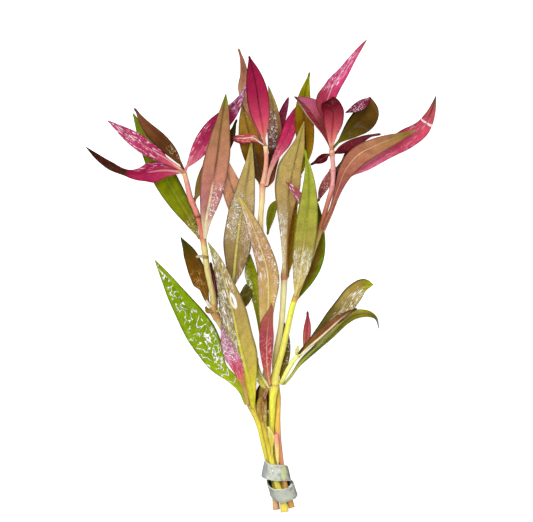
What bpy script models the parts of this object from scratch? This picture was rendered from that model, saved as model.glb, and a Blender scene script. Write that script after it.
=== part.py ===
"""A tied bunch of Alternanthera reineckii cuttings, lying flat: stems, leaves and a soft grey strip.

The shape tables are in millimetres. +Y runs from the cut ends to the leaf tips, +Z is up, and the
surface that the bunch lies on is z = 0. Each leaf is a lanceolate blade swept along its own midrib.
"""

import math

import bmesh
import bpy
import numpy as np
from mathutils import Vector

MM = 0.001

BLADE_THICKNESS = 0.6
PETIOLE_THICKNESS = 1.1
TIP_THICKNESS = 0.3
PETIOLE_HALF_WIDTH = 0.7
TIP_HALF_WIDTH = 0.2
PETIOLE_SHARE = 0.16
TIP_FROM = 0.9
LANCEOLATE_POWER = 2.2
FOLD_POWER = 1.3
USUAL_FOLD = 0.2
NARROW_LEAF_WIDTH = 5.0
RINGS_AT_LEAST = 5
LENGTH_PER_RING = 12.5
FINE_STEPS = 400
HALFWAY_LAYER = 0.7
STEM_SIDES = 8
SHARP_EDGE_DEG = 40
ROUGHNESS = 0.4
STRIP_METALLIC = 0.6

STRIP_THICKNESS = 1.0
STRIP_HEIGHT = 10.2
STRIP_SQUARENESS = 2.6
STRIP_PRESSED = 1.05
STRIP_START = (7.24, -98.72)
STRIP_AXIS = (0.177, -0.984)
STRIP_STEP_DEG = 13

COLOURS = {
    "green": (0.16, 0.24, 0.02),
    "dark_green": (0.05, 0.07, 0.01),
    "olive": (0.34, 0.27, 0.07),
    "brown": (0.16, 0.08, 0.02),
    "rosy": (0.47, 0.2, 0.12),
    "pink": (0.6, 0.09, 0.19),
    "crimson": (0.35, 0.03, 0.06),
    "maroon": (0.1, 0.01, 0.02),
    "stem": (0.75, 0.5, 0.18),
    "strip": (0.3, 0.31, 0.3),
}


def leaf(midrib, width=5.0, peak=0.45, fold=USUAL_FOLD, left=1.0, right=1.0, outline=None,
         tone="green"):
    """One leaf's shape. The midrib runs from base to tip, and peak is where the blade is widest.

    An outline, where there is one, holds (share of the length, left half width, right half width).
    """
    return {
        "midrib": midrib,
        "width": width,
        "peak": peak,
        "fold": fold,
        "sides": (left, right),
        "outline": outline,
        "tone": tone,
    }


# Each stem's centre line from its cut end upwards, with the radius there: x, y, z, radius.
STEMS = {
    "StemLeft": [
        (7.2, -117, 4.1, 1.7), (6.5, -109.5, 3.3, 1.5), (6.1, -104.5, 3.1, 1.35),
        (2.7, -92, 4.4, 1.35), (0.4, -82, 5, 1.4), (-2.1, -72.5, 6.4, 1.5),
        (-4.4, -66.5, 7.4, 2), (-8, -54.5, 7.6, 1.7), (-12, -42, 7.8, 1.65),
        (-17, -30.5, 8.6, 1.65), (-21.5, -22.5, 9.6, 1.7), (-24, -17.5, 10.2, 1.9),
        (-24.25, -12, 10.8, 1.6), (-27, 1.5, 12, 1.5), (-28.2, 9.5, 12.8, 1.55),
        (-29.4, 18, 13.6, 1.5), (-30.5, 24, 14, 1.4), (-32, 29.5, 14.5, 1.5),
        (-34.5, 36, 15.2, 1.3), (-35.75, 39, 15.5, 1.4), (-37.25, 45.5, 16.2, 1.2),
        (-38.75, 51.5, 17, 1.1),
    ],
    "StemCentre": [
        (11.4, -118.2, 5.7, 2), (10.6, -113, 5.8, 1.8), (7.7, -104.8, 6.3, 1.65),
        (4.9, -92.5, 7, 1.5), (3.4, -85.5, 7.5, 1.5), (1.6, -78, 7.6, 1.5),
        (0.25, -69.5, 6.8, 1.5), (-0.5, -62, 6.6, 1.5), (0.5, -55.5, 6.6, 1.5),
        (2, -47, 7.6, 1.5), (2, -37, 8.4, 1.5), (1.5, -27, 9.2, 1.5), (1, -7, 10.6, 1.5),
        (0.25, 13, 12, 1.4), (-0.75, 28, 13.5, 1.4), (0, 38, 14.6, 1.4),
        (0.25, 44.5, 15.1, 1.5), (1.75, 53, 16.2, 1.25), (2.1, 59.5, 17.4, 1.15),
        (1.75, 65, 18.4, 1.1),
    ],
    "StemInner": [
        (14.9, -116, 4.6, 1.6), (11.4, -104.2, 6, 1.4), (9.3, -92, 5.6, 1.4),
        (8.5, -85, 5.6, 1.4), (7.9, -77, 5.4, 1.4), (7.9, -67, 4.8, 1.35), (8, -60, 4, 1.35),
        (7, -53, 3.2, 1.3), (6.4, -45.5, 4.5, 1.35), (7, -38.5, 6, 1.4), (8.5, -31, 7, 1.4),
        (9.75, -23, 8, 1.4), (10.6, -12, 9, 1.4), (11.1, -1.5, 10.2, 1.5),
        (11.75, 10.5, 11.4, 1.2), (12.5, 28, 12.8, 1.2), (15.5, 44, 14.4, 1.15),
        (18.8, 50.5, 15.4, 1.05),
    ],
    "StemRight": [
        (10.3, -113, 2.3, 1.4), (9.3, -104.5, 2.8, 1.5), (6, -93, 2.7, 1.5),
        (5.4, -84.5, 3.3, 1.5), (4.75, -77, 4.4, 1.6), (4.9, -69.5, 6.4, 1.7),
        (5.25, -62, 7.4, 1.9), (5.75, -56, 8, 2.4), (7.25, -47, 9.6, 1.9),
        (8.75, -42, 10.8, 1.7), (11.35, -32, 12.6, 1.6), (13.65, -22, 14, 1.4),
        (15, -16, 15, 1.5), (16.25, -12, 15.4, 1.3), (20.25, -2, 16.6, 1.2),
        (24, 8, 17.6, 1.2), (27.5, 18, 18.6, 1.25), (28.75, 22, 19, 1.4),
        (30.4, 28, 19.7, 1.2), (33.25, 38, 20.8, 1.2), (34.75, 43, 21.4, 1.25),
        (35.5, 53, 22.4, 1.15), (34.75, 63, 23.8, 1.1),
    ],
    "SideShoot": [
        (9.3, -54.2, 8.4, 0.9), (10.2, -52.3, 8.6, 1.1), (12.9, -47, 8.8, 1.2), (16, -42, 9.1, 1.2),
        (18, -39.8, 9.4, 1.1),
    ],
    "BrokenStemPiece": [
        (6.8, -79.2, 9, 1.4), (7.4, -85, 8.9, 1.3), (7.8, -91, 8.7, 0.9), (8, -93.6, 8.5, 0.6),
    ],
}

LEAVES = {
    "LeftBrownLeaf": leaf(
        [(-40, 55, 18), (-43.5, 61.5, 17), (-49.5, 68.5, 15), (-56.75, 75.25, 13), (-64, 84, 11)],
        width=10, peak=0.42, right=0.43, tone="brown"),
    "LeftPinkLeaf": leaf(
        [(-40.6, 53.4, 19.6), (-48.5, 59, 20), (-58.5, 65, 19), (-67.5, 71, 17),
         (-77.25, 77.75, 14)],
        outline=[(0, 0.8, 0.8), (0.1, 1.5, 0.7), (0.2, 2.9, 0.7), (0.31, 3.8, 2.5),
                 (0.44, 4.2, 3.2), (0.55, 4.1, 4), (0.7, 3.3, 3.2), (0.85, 1.8, 1.8),
                 (1, 0.2, 0.2)],
        width=8.4, tone="pink"),
    "LeftCurledLeaf": leaf(
        [(-40.5, 52, 17), (-48.5, 52.75, 16.5), (-56, 52, 15), (-62.5, 51.25, 13.5),
         (-69, 52.25, 12.5), (-76, 55.25, 12), (-82.5, 59.75, 12.5), (-88, 64.5, 13.5)],
        outline=[(0, 0.8, 0.8), (0.157, 3.8, 4.4), (0.255, 6, 5), (0.32, 5, 4.6), (0.38, 4, 3.2),
                 (0.49, 2.7, 1.5), (0.56, 1.8, 1.4), (0.7, 2.2, 2.2), (0.86, 1.5, 1.5),
                 (1, 0.2, 0.2)],
        width=11, tone="maroon"),
    "LeftMagentaLeaf": leaf(
        [(-37.75, 54, 18.4), (-34.5, 59.5, 18.2), (-29.5, 68, 17), (-23.5, 75.5, 16),
         (-16.5, 82, 15.5), (-12, 87.5, 15.3), (-7.5, 95.5, 15.5)],
        width=10.5, peak=0.42, left=0.75, right=1.2, tone="pink"),
    "LeftGreenLeaf": leaf(
        [(-31.5, 19, 11.4), (-36, 28.5, 9.5), (-42.5, 39.5, 7), (-48, 49, 5.2), (-54.5, 62, 3),
         (-60, 73, 1.2), (-64.75, 81.5, 0.4)],
        width=13, peak=0.42, right=0.8, tone="green"),
    "LeftOliveBackLeaf": leaf(
        [(-33.75, 37.5, 13.2), (-31.5, 45.5, 12), (-27.5, 54, 9.5), (-22, 63, 8), (-16.5, 70, 7),
         (-12.5, 78.5, 7)],
        width=11, left=0.5, right=1.1, tone="dark_green"),
    "LeftRosyLeaf": leaf(
        [(-28.5, 19, 15.8), (-27.75, 28.5, 17), (-26, 38, 18), (-24.25, 48, 18.8),
         (-22.25, 60.5, 19.4), (-20.75, 73, 19.8), (-19.25, 83, 20), (-18, 91, 20)],
        outline=[(0, 0.7, 0.7), (0.1, 2.2, 2.2), (0.2, 4.1, 4.1), (0.3, 5.6, 5.6),
                 (0.4, 6.5, 6.4), (0.5, 6.7, 6.6), (0.61, 5.8, 6.3), (0.71, 4.4, 5.4),
                 (0.81, 2.7, 4.2), (0.89, 1.8, 2.9), (0.95, 1, 1.6), (1, 0.2, 0.2)],
        width=13.5, tone="rosy"),
    "CentreRosyBackLeaf": leaf(
        [(-2, 12, 10), (-7, 24, 9), (-12, 36.5, 9.5), (-15.5, 45.5, 10.5), (-18.5, 55.5, 11),
         (-20.5, 65, 11.5)],
        width=11.5, tone="rosy"),
    "LeftTornLeaf": leaf(
        [(-26.5, -15, 8.2), (-28.5, -9, 7.5), (-30.5, -2, 6.5), (-33, 5, 6), (-36, 12, 5.8),
         (-40.75, 19.5, 6)],
        outline=[(0, 0.6, 0.6), (0.12, 1.5, 1.4), (0.25, 2, 3), (0.3, 4.6, 3.4), (0.5, 5, 3.8),
                 (0.75, 4, 2.8), (1, 0.2, 0.2)],
        width=8, tone="brown"),
    "LeftNarrowMaroonLeaf": leaf(
        [(-22.6, -14, 9), (-23.3, -8, 9), (-24.3, -0.5, 9), (-25.75, 7, 9.5)],
        width=3.2, tone="maroon"),
    "LeftBroadOliveLeaf": leaf(
        [(-22, -17.5, 12), (-18, -11, 12), (-14.5, -2, 12.2), (-13.5, 7, 12.5), (-12.3, 18, 12.8),
         (-10.8, 29, 13.5), (-8.3, 43, 14.5), (-6.3, 55.5, 15.5), (-5.25, 68.5, 17)],
        outline=[(0, 0.7, 0.7), (0.1, 0.8, 0.8), (0.19, 2, 1.8), (0.26, 4, 4.8),
                 (0.36, 6.4, 7.1), (0.42, 7.2, 7.5), (0.6, 6.5, 6.5), (0.8, 3.5, 3.5),
                 (0.9, 1.6, 1.6), (1, 0.2, 0.2)],
        width=15, tone="olive"),
    "LowerLongOliveLeaf": leaf(
        [(-4.5, -66, 10.8), (-6, -57, 12.5), (-8.25, -46, 14.2), (-11.25, -34.5, 15.4),
         (-13.75, -22, 16.2), (-16.6, -10.5, 16.6), (-19.75, 0.5, 16.6), (-23.25, 10, 16.8),
         (-27, 17, 17.4)],
        outline=[(0, 0.9, 0.9), (0.05, 1.2, 2), (0.15, 1.5, 3.9), (0.215, 1.4, 5.7),
                 (0.27, 1, 6.9), (0.31, 1.4, 7.9), (0.365, 2.4, 8), (0.435, 4.7, 7.4),
                 (0.52, 7, 7.2), (0.575, 6.5, 7.1), (0.66, 5.4, 5.9), (0.725, 4.5, 4.6),
                 (0.8, 3.7, 3.5), (0.9, 2.3, 1.9), (1, 0.2, 0.2)],
        width=15, tone="olive"),
    "LowerGreenLeaf": leaf(
        [(-8.2, -63.8, 6), (-10, -57.8, 5), (-14.5, -52, 3.8), (-21.2, -46, 2.2),
         (-27, -35, 0.9), (-34.6, -21.8, 0.4), (-42.8, -9, 0.4), (-50.3, 3, 0.9),
         (-53.75, 8, 1.4)],
        outline=[(0, 0.9, 0.9), (0.08, 1.7, 1.7), (0.17, 2.4, 2.4), (0.25, 3.2, 3.2),
                 (0.32, 5.4, 5.4), (0.42, 7.2, 7.2), (0.51, 7.8, 7.8), (0.6, 7.2, 6.8),
                 (0.77, 5, 4.2), (0.93, 2, 1.5), (1, 0.2, 0.2)],
        width=15.5, fold=0.15, tone="green"),
    "LowerPinkLeaf": leaf(
        [(-7, -64.5, 9.6), (-8.75, -56, 10.6), (-12, -47, 11.2), (-16.5, -35.5, 12),
         (-20.5, -24, 12.8)],
        outline=[(0, 0.8, 0.8), (0.2, 1, 2), (0.32, 1.8, 3), (0.43, 2.5, 3.4), (0.6, 4.1, 3.6),
                 (0.715, 3.8, 3.2), (0.85, 2.5, 2.4), (1, 0.2, 0.2)],
        width=8.5, tone="pink"),
    "CentreCrimsonLeaf": leaf(
        [(1.15, 67, 20.6), (0.25, 74.5, 21.6), (-1.25, 83, 22.2), (-2.5, 92, 22.6),
         (-4.25, 101, 23), (-6.5, 110, 23.4)],
        width=11, peak=0.5, tone="crimson"),
    "CentreTwistedLeaf": leaf(
        [(-0.5, 68, 17), (-4, 77, 15), (-8, 87, 12.5), (-9.75, 94, 11.5), (-9, 101, 13),
         (-9.75, 107, 14), (-11.75, 113.75, 15)],
        width=4.6, peak=0.55, tone="rosy"),
    "CentreOliveBackLeaf": leaf(
        [(-1, 46, 13), (-2, 52, 12.8), (-4, 62, 12.2), (-6.5, 71.5, 11.6), (-8.5, 80, 10.8),
         (-10, 87.5, 9.6)],
        width=10.5, left=1.15, tone="brown"),
    "CentreSmallPinkLeaf": leaf(
        [(-0.8, 66.5, 18.8), (-4.5, 69, 18.6), (-9.5, 68.75, 18.2), (-17.5, 69.2, 17.4)],
        width=4.2, left=1.5, tone="pink"),
    "CentreSpeckledLeaf": leaf(
        [(2.6, 45, 12.6), (3.5, 54, 12.8), (5.5, 63, 12.8), (6.5, 73, 13.4), (5.75, 84, 14.4),
         (3.25, 95, 15.4)],
        outline=[(0, 0.7, 0.7), (0.05, 0.7, 3.4), (0.2, 0.8, 3.9), (0.29, 1, 4), (0.36, 2.6, 4),
                 (0.56, 4, 3.6), (0.63, 3.9, 3.1), (0.76, 3, 2.2), (0.89, 1.6, 1.2),
                 (1, 0.2, 0.2)],
        width=8.5, tone="brown"),
    "CentrePurpleTipLeaf": leaf(
        [(2, 46, 11), (4.5, 58, 10), (7.25, 69, 9.6), (9.75, 79, 9.6), (13.25, 89.5, 10)],
        width=4.6, tone="maroon"),
    "CentreMagentaLeaf": leaf(
        [(2.5, 45.5, 16.6), (3.75, 51.5, 17), (6.75, 59, 17), (11.25, 67, 17),
         (14.75, 76, 16.4), (19, 86.5, 15.6)],
        outline=[(0, 0.7, 0.7), (0.13, 0.95, 0.95), (0.33, 1.55, 1.55), (0.52, 3.2, 3.3),
                 (0.75, 3.5, 3.5), (0.9, 2, 2), (1, 0.2, 0.2)],
        width=7, tone="pink"),
    "HiddenDarkLeaf": leaf(
        [(-19.5, -19, 8), (-16.5, -18.5, 7.6), (-11.3, -14.5, 7.4), (-8, -9.3, 7.6),
         (-7.8, -3.9, 8)],
        width=6.5, peak=0.65, tone="dark_green"),
    "NodeGreenLeaf": leaf(
        [(2.6, -53, 4.4), (1.6, -44.5, 4.6), (0, -32, 5.2), (-1.75, -19.5, 5.6), (-3.75, -8, 6),
         (-5.5, 2, 6.6), (-6, 11, 7)],
        outline=[(0, 0.7, 0.7), (0.3, 0.9, 2), (0.5, 1.3, 3.4), (0.62, 1.8, 3.9), (0.7, 2.3, 4),
                 (0.78, 3, 3.6), (0.85, 3.5, 3), (0.92, 2.5, 2), (1, 0.2, 0.2)],
        width=7, tone="green"),
    "NodeTanLeaf": leaf(
        [(3.25, -54.5, 10.2), (2.25, -44.5, 11.6), (2, -32, 12.8), (2.75, -19.5, 13.8),
         (3.25, -8, 14.8), (2.5, 3, 15.8), (-0.5, 13.5, 16.8), (-5, 25.5, 18), (-8.5, 33.5, 18.6),
         (-11.75, 39.75, 19)],
        outline=[(0, 0.7, 0.7), (0.2, 1.8, 1.6), (0.3, 3.4, 2.2), (0.42, 5.2, 3.4),
                 (0.53, 5.5, 5.8), (0.66, 4.5, 5.3), (0.77, 3.6, 4.4), (0.89, 2.3, 2.6),
                 (1, 0.2, 0.2)],
        width=11.5, tone="rosy"),
    "NodeCrimsonLeaf": leaf(
        [(3.9, -54.5, 11.8), (2.7, -46, 14.4), (2.35, -37, 16), (2.7, -28, 17.2),
         (4.75, -13.5, 18.8)],
        outline=[(0, 0.7, 0.7), (0.17, 1.9, 1.5), (0.34, 2.9, 2.7), (0.46, 3.7, 3.3),
                 (0.61, 4, 3.4), (0.77, 4, 2.3), (0.92, 1.1, 1.5), (1, 0.2, 0.2)],
        width=8, tone="crimson"),
    "NodeFoldedLeaf": leaf(
        [(2.4, -57.5, 9.2), (0, -53, 9.6), (-2, -47.5, 9.8), (-2.5, -40.5, 10)],
        width=3, tone="dark_green"),
    "NodeDarkLeaf": leaf(
        [(9.4, -53, 5), (10.25, -44.5, 3.6), (10.5, -34.5, 2.8), (11, -23, 2.6)],
        width=7.6, peak=0.55, fold=0.08, tone="dark_green"),
    "InnerOliveLeaf": leaf(
        [(11.5, 0.5, 13), (11.75, 9, 14.4), (12.25, 20, 16), (13, 32, 17.4), (13.5, 43, 18.6),
         (15.5, 53, 19.8), (17.75, 63, 21.2), (21, 77.25, 22.8)],
        outline=[(0, 0.75, 0.75), (0.12, 1.75, 1), (0.26, 3.25, 1.25), (0.41, 5.5, 2.5),
                 (0.57, 7.5, 5.7), (0.7, 8, 4), (0.8, 4.7, 3.7), (0.87, 2.3, 2.7),
                 (0.94, 1.3, 1.3), (1, 0.2, 0.2)],
        width=13, tone="olive"),
    "InnerDarkLeaf": leaf(
        [(12.8, -0.5, 8), (14, 9, 8.4), (14.75, 19, 8.8), (16, 30.5, 9.2), (18.5, 40.5, 9.6)],
        width=5, tone="brown"),
    "InnerTallLeaf": leaf(
        [(20.4, 53, 16), (21.75, 62, 17.4), (21.5, 70.5, 18.6), (20.9, 79, 19.6), (21, 88, 20.4),
         (23.75, 101.75, 21.6)],
        width=9.6, tone="green"),
    "InnerSmallLeaf": leaf(
        [(12, 38.5, 12), (6, 35, 11), (4.25, 29.5, 10), (2.75, 20.5, 9)],
        width=4.4, tone="dark_green"),
    "InnerPinkTipLeaf": leaf(
        [(27.2, 24, 20.2), (23.5, 32.5, 21), (18.5, 39.5, 21.8), (12, 47.5, 22.2)],
        width=4.6, peak=0.55, tone="pink"),
    "RightGreenLeaf": leaf(
        [(16.5, -10, 17.6), (18.75, 0.5, 19), (20.5, 13, 20.8), (22, 25.5, 22.6),
         (23.25, 39, 24), (23.25, 50.5, 24.6), (21.4, 63, 25.2)],
        width=12.3, peak=0.42, left=0.88, right=0.96, tone="olive"),
    "RightDarkBackLeaf": leaf(
        [(17.75, -11, 13), (22, -3, 12), (26, 7, 10.5), (28.5, 16.5, 10), (29.5, 26.5, 10),
         (28, 36.5, 10.4)],
        outline=[(0, 0.7, 0.7), (0.1, 1.6, 1.9), (0.2, 3, 3.2), (0.33, 4.2, 4.3),
                 (0.46, 4.5, 4.4), (0.6, 4.1, 3.3), (0.72, 3.3, 1.9), (0.8, 2.7, 1),
                 (0.9, 1.5, 0.8), (1, 0.2, 0.2)],
        width=9, tone="brown"),
    "RightSpeckledLeaf": leaf(
        [(34.2, 53, 19.8), (32, 46.5, 18), (29.75, 42, 17.4), (28, 37, 17)],
        width=4.6, tone="maroon"),
    "RightDarkNarrowLeaf": leaf(
        [(36.6, 44.5, 20), (37.7, 52, 18.8), (40.5, 58, 18), (44, 63.5, 17.6)],
        outline=[(0, 0.8, 0.8), (0.2, 1.6, 1.6), (0.38, 2.2, 2.2), (0.5, 1.2, 2.4),
                 (0.65, 0.5, 2.2), (0.85, 1.2, 1.4), (1, 0.2, 0.2)],
        width=5.2, tone="dark_green"),
    "RightTanLeaf": leaf(
        [(30.2, 24, 20.8), (34.5, 33.5, 22.4), (37.75, 43, 23.2), (41.5, 52.5, 23.4),
         (47.5, 60, 23), (56.5, 65, 21.6), (67, 69.25, 19), (77.5, 73, 15)],
        outline=[(0, 0.8, 0.8), (0.15, 1, 1.2), (0.3, 1.7, 2.4), (0.4, 3.2, 4.2),
                 (0.5, 4.4, 5.6), (0.62, 4.3, 5.6), (0.76, 3.1, 4.2), (0.9, 1.2, 1.9),
                 (1, 0.2, 0.2)],
        width=10, tone="rosy"),
    "RightLongPinkLeaf": leaf(
        [(30.75, 22.5, 17.4), (34.9, 32, 17.4), (38.4, 41, 17.2), (43, 49.5, 16.4),
         (52, 55, 14.6), (63, 62, 11.4), (73, 68, 8), (80, 74, 5), (84.5, 81.5, 2.4),
         (87.25, 90.25, 0.4)],
        outline=[(0, 0.8, 0.8), (0.116, 1, 0.7), (0.218, 1.2, 0.7), (0.32, 2.2, 0.9),
                 (0.433, 4.2, 2.5), (0.575, 5.6, 3.3), (0.703, 6.3, 4.2), (0.8, 4, 4.4),
                 (0.9, 2.2, 2.4), (1, 0.2, 0.2)],
        width=11, tone="pink"),
    "TopRedLeaf": leaf(
        [(34.5, 65, 26.4), (34.75, 70, 27.6), (35.25, 76, 29), (35.25, 82, 29.8),
         (34, 86, 29.2), (33, 87.6, 28.2)],
        outline=[(0, 1, 1), (0.23, 2.7, 2.7), (0.48, 4.5, 5), (0.73, 5.2, 5.6), (0.9, 5.2, 4.4),
                 (1, 3.6, 2.8)],
        width=11, tone="crimson"),
    "TopPinkLeaf": leaf(
        [(33.6, 67, 24.8), (33.2, 76, 25.4), (32, 84, 26), (34.5, 93, 26.6), (40, 102, 27),
         (45.5, 110, 27.6), (52.2, 117.8, 28.2)],
        outline=[(0, 0.8, 0.8), (0.1, 1, 1.2), (0.2, 1.6, 2.2), (0.3, 5, 3.5), (0.38, 6, 3.7),
                 (0.465, 4.1, 4.1), (0.55, 3.5, 4), (0.65, 2, 3.6), (0.82, 1, 2.3),
                 (0.93, 0.7, 1.2), (1, 0.2, 0.2)],
        width=9, tone="pink"),
    "TopMauveLeaf": leaf(
        [(33.2, 66.5, 22.8), (29.5, 75, 23.6), (25.5, 81, 24), (21.5, 85.5, 23.8),
         (16, 89.5, 23.4)],
        outline=[(0, 0.7, 0.7), (0.12, 1.2, 1), (0.32, 2.6, 2.2), (0.5, 3.2, 4.6),
                 (0.6, 3.2, 6.2), (0.7, 2.8, 5.8), (0.78, 2.3, 4.2), (0.88, 1.3, 2),
                 (1, 0.2, 0.2)],
        width=6.5, tone="maroon"),
    "TopOliveLeaf": leaf(
        [(36.5, 65, 23), (40, 69, 22), (45, 74.5, 21.6), (50.5, 80.5, 22), (54, 89.25, 23.4)],
        width=12.5, peak=0.65, left=0.75, right=1.25, tone="olive"),
    "TopMaroonRightLeaf": leaf(
        [(36.6, 61.5, 22.2), (41.5, 63.9, 19.5), (48, 67.3, 16), (54, 70, 13.5),
         (59.5, 71, 11.5)],
        width=5.2, peak=0.3, tone="maroon"),
    "TopMaroonLeftLeaf": leaf(
        [(33, 60.5, 21.4), (30, 58.5, 19), (26, 56.5, 16), (24.2, 55.5, 14.6)],
        width=4.4, peak=0.3, tone="maroon"),
    "ShootOliveLeaf": leaf(
        [(19.8, -37.2, 9.8), (25, -31.6, 9.6), (30, -26.4, 9.4), (35, -21.4, 9.2),
         (40.25, -16.25, 9), (46, -8.75, 9), (50.5, -4.9, 8.4), (55.7, -4.25, 7)],
        outline=[(0, 0.8, 0.8), (0.16, 1.3, 1.3), (0.3, 2.5, 2.5), (0.44, 4, 4), (0.58, 5, 5),
                 (0.77, 4.8, 4.8), (0.9, 3.6, 3), (0.96, 2.2, 1.8), (1, 0.2, 0.2)],
        width=10, tone="olive"),
    "ShootRedLeaf": leaf(
        [(20.9, -37, 8), (22.2, -31, 7), (22.8, -24.5, 6.2), (22.8, -17.5, 6)],
        width=4, tone="crimson"),
    "ShootGreenLeaf": leaf(
        [(11.2, -54, 6.2), (14.2, -50.5, 6.4), (19, -43.75, 6.6), (26.5, -36.5, 6.8),
         (34.5, -29.25, 6.2), (42, -22, 4.8), (46, -19.5, 4), (50, -18.75, 3),
         (54, -19.15, 1.8), (57, -21, 0.9), (58.65, -26.5, 0.3)],
        outline=[(0, 0.7, 0.7), (0.15, 0.8, 0.8), (0.22, 1.4, 1.4), (0.5, 2, 2), (0.74, 2.4, 2.4),
                 (0.86, 1.6, 1.6), (0.91, 0.7, 0.7), (1, 0.2, 0.2)],
        width=4.8, tone="green"),
    "ShootFoldedLeaf": leaf(
        [(19.3, -39.6, 11.2), (24, -35, 12.4), (29, -30.75, 13), (34, -26.25, 13),
         (39, -21.75, 12.6), (44, -18, 12), (47.5, -16.25, 11.4)],
        width=4.4, left=1.5, right=0.5, tone="brown"),
    "ShootBud": leaf(
        [(17.2, -38.3, 10.6), (17.7, -36.5, 11), (18.2, -34.8, 11.4)], width=2, tone="stem"),
    "WitheredScrap": leaf(
        [(0.5, -58, 9.4), (-0.7, -63, 9.2), (-1, -68, 9.2), (-0.2, -73, 9.4)],
        width=4, tone="brown"),
}

# The tip of TopOliveLeaf is folded back over its own blade.
FOLDED_TIP = leaf(
    [(54, 88.9, 23.5), (52.5, 87.5, 24.7), (49, 85, 25), (41.5, 81.25, 25.4)], width=5,
    tone="maroon")

# The strip's turns: angle round the bundle, place along it, half width of the turn, how much wider
# the turn is at the edge towards the cut ends, and the strip's own width.
STRIP_TURNS = [
    (170, -3.7, 6.3, 3.4, 8.2), (90, 0, 6.3, 0.6, 8), (0, 1.2, 6.3, 0.8, 8), (-20, 2.2, 6.6, 0, 9.4),
    (-45, 3.2, 7, 0, 9.4), (-90, 4, 6.3, 0, 9), (-135, 5.2, 5.6, 0, 8.2), (-180, 6.4, 5.3, -0.4, 7.6),
    (-270, 12, 6.4, -3, 6.8), (-330, 11, 7.6, 0.6, 6.4), (-350, 10.1, 8.1, 1.2, 6.2),
    (-385, 8, 8.2, 0.6, 6),
]


def material(tone):
    """A plain material in the tone's colour, made once."""
    found = bpy.data.materials.get(tone)
    if found:
        return found
    made = bpy.data.materials.new(tone)
    made.use_nodes = True
    shader = made.node_tree.nodes["Principled BSDF"]
    shader.inputs["Base Color"].default_value = (*COLOURS[tone], 1)
    shader.inputs["Roughness"].default_value = ROUGHNESS
    if tone == "strip":
        shader.inputs["Metallic"].default_value = STRIP_METALLIC
    return made


def smooth_curve(points, count):
    """Evenly spaced points along a smooth curve through the given points."""
    p = np.array(points, float)
    at = np.concatenate([[0], np.cumsum(np.linalg.norm(np.diff(p, axis=0), axis=1))])
    slope = np.gradient(p, at, axis=0)
    fine = np.linspace(0, at[-1], FINE_STEPS)
    i = np.clip(np.searchsorted(at, fine, side="right") - 1, 0, len(at) - 2)
    span = (at[i + 1] - at[i])[:, None]
    s = (fine - at[i])[:, None] / span
    curve = (2 * s**3 - 3 * s**2 + 1) * p[i] + (3 * s**2 - 2 * s**3) * p[i + 1]
    curve += span * ((s**3 - 2 * s**2 + s) * slope[i] + (s**3 - s**2) * slope[i + 1])
    run = np.concatenate([[0], np.cumsum(np.linalg.norm(np.diff(curve, axis=0), axis=1))])
    even = np.linspace(0, run[-1], count)
    return np.column_stack([np.interp(even, run, curve[:, k]) for k in range(3)])


def directions(centres):
    """At each point of a path: the way to its right, and the way up from the path."""
    along = np.gradient(centres, axis=0)
    along /= np.linalg.norm(along, axis=1)[:, None]
    right = np.cross(along, [0, 0, 1])
    right /= np.linalg.norm(right, axis=1)[:, None]
    return right, np.cross(right, along)


def half_widths(shape, u):
    """The blade's half width on its left and right at each share u of the leaf's length."""
    if shape["outline"]:
        at, left, right = np.array(shape["outline"]).T
        return np.interp(u, at, left), np.interp(u, at, right)
    p = shape["peak"]
    rise = (u / p) ** (LANCEOLATE_POWER * p)
    fall = ((1 - u) / (1 - p)) ** (LANCEOLATE_POWER * (1 - p))
    blade = shape["width"] / 2 * rise * fall
    least = np.interp(u, [0, 0.5, 1], [PETIOLE_HALF_WIDTH, PETIOLE_HALF_WIDTH, TIP_HALF_WIDTH])
    return [np.maximum(blade * side, least) for side in shape["sides"]]


def skin(rings):
    """A closed mesh through rings of equally many points, with a flat face on each end."""
    mesh = bmesh.new()
    rows = [[mesh.verts.new(point * MM) for point in ring] for ring in rings]
    for low, high in zip(rows, rows[1:]):
        for k in range(len(low)):
            n = (k + 1) % len(low)
            mesh.faces.new((low[k], low[n], high[n], high[k]))
    mesh.faces.new(rows[0])
    mesh.faces.new(rows[-1][::-1])
    bmesh.ops.recalc_face_normals(mesh, faces=mesh.faces)
    return mesh


def add_piece(name, mesh, tone, origin):
    """Puts a finished mesh into the scene as one object, with its own origin at the given point."""
    origin = Vector(origin) * MM
    for vert in mesh.verts:
        vert.co -= origin
    data = bpy.data.meshes.new(name)
    mesh.to_mesh(data)
    mesh.free()
    data.shade_smooth()
    data.set_sharp_from_angle(angle=math.radians(SHARP_EDGE_DEG))
    data.materials.append(material(tone))
    piece = bpy.data.objects.new(name, data)
    piece.location = origin
    piece.parent = bpy.data.objects["Bunch"]
    bpy.context.scene.collection.objects.link(piece)
    return piece


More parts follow.
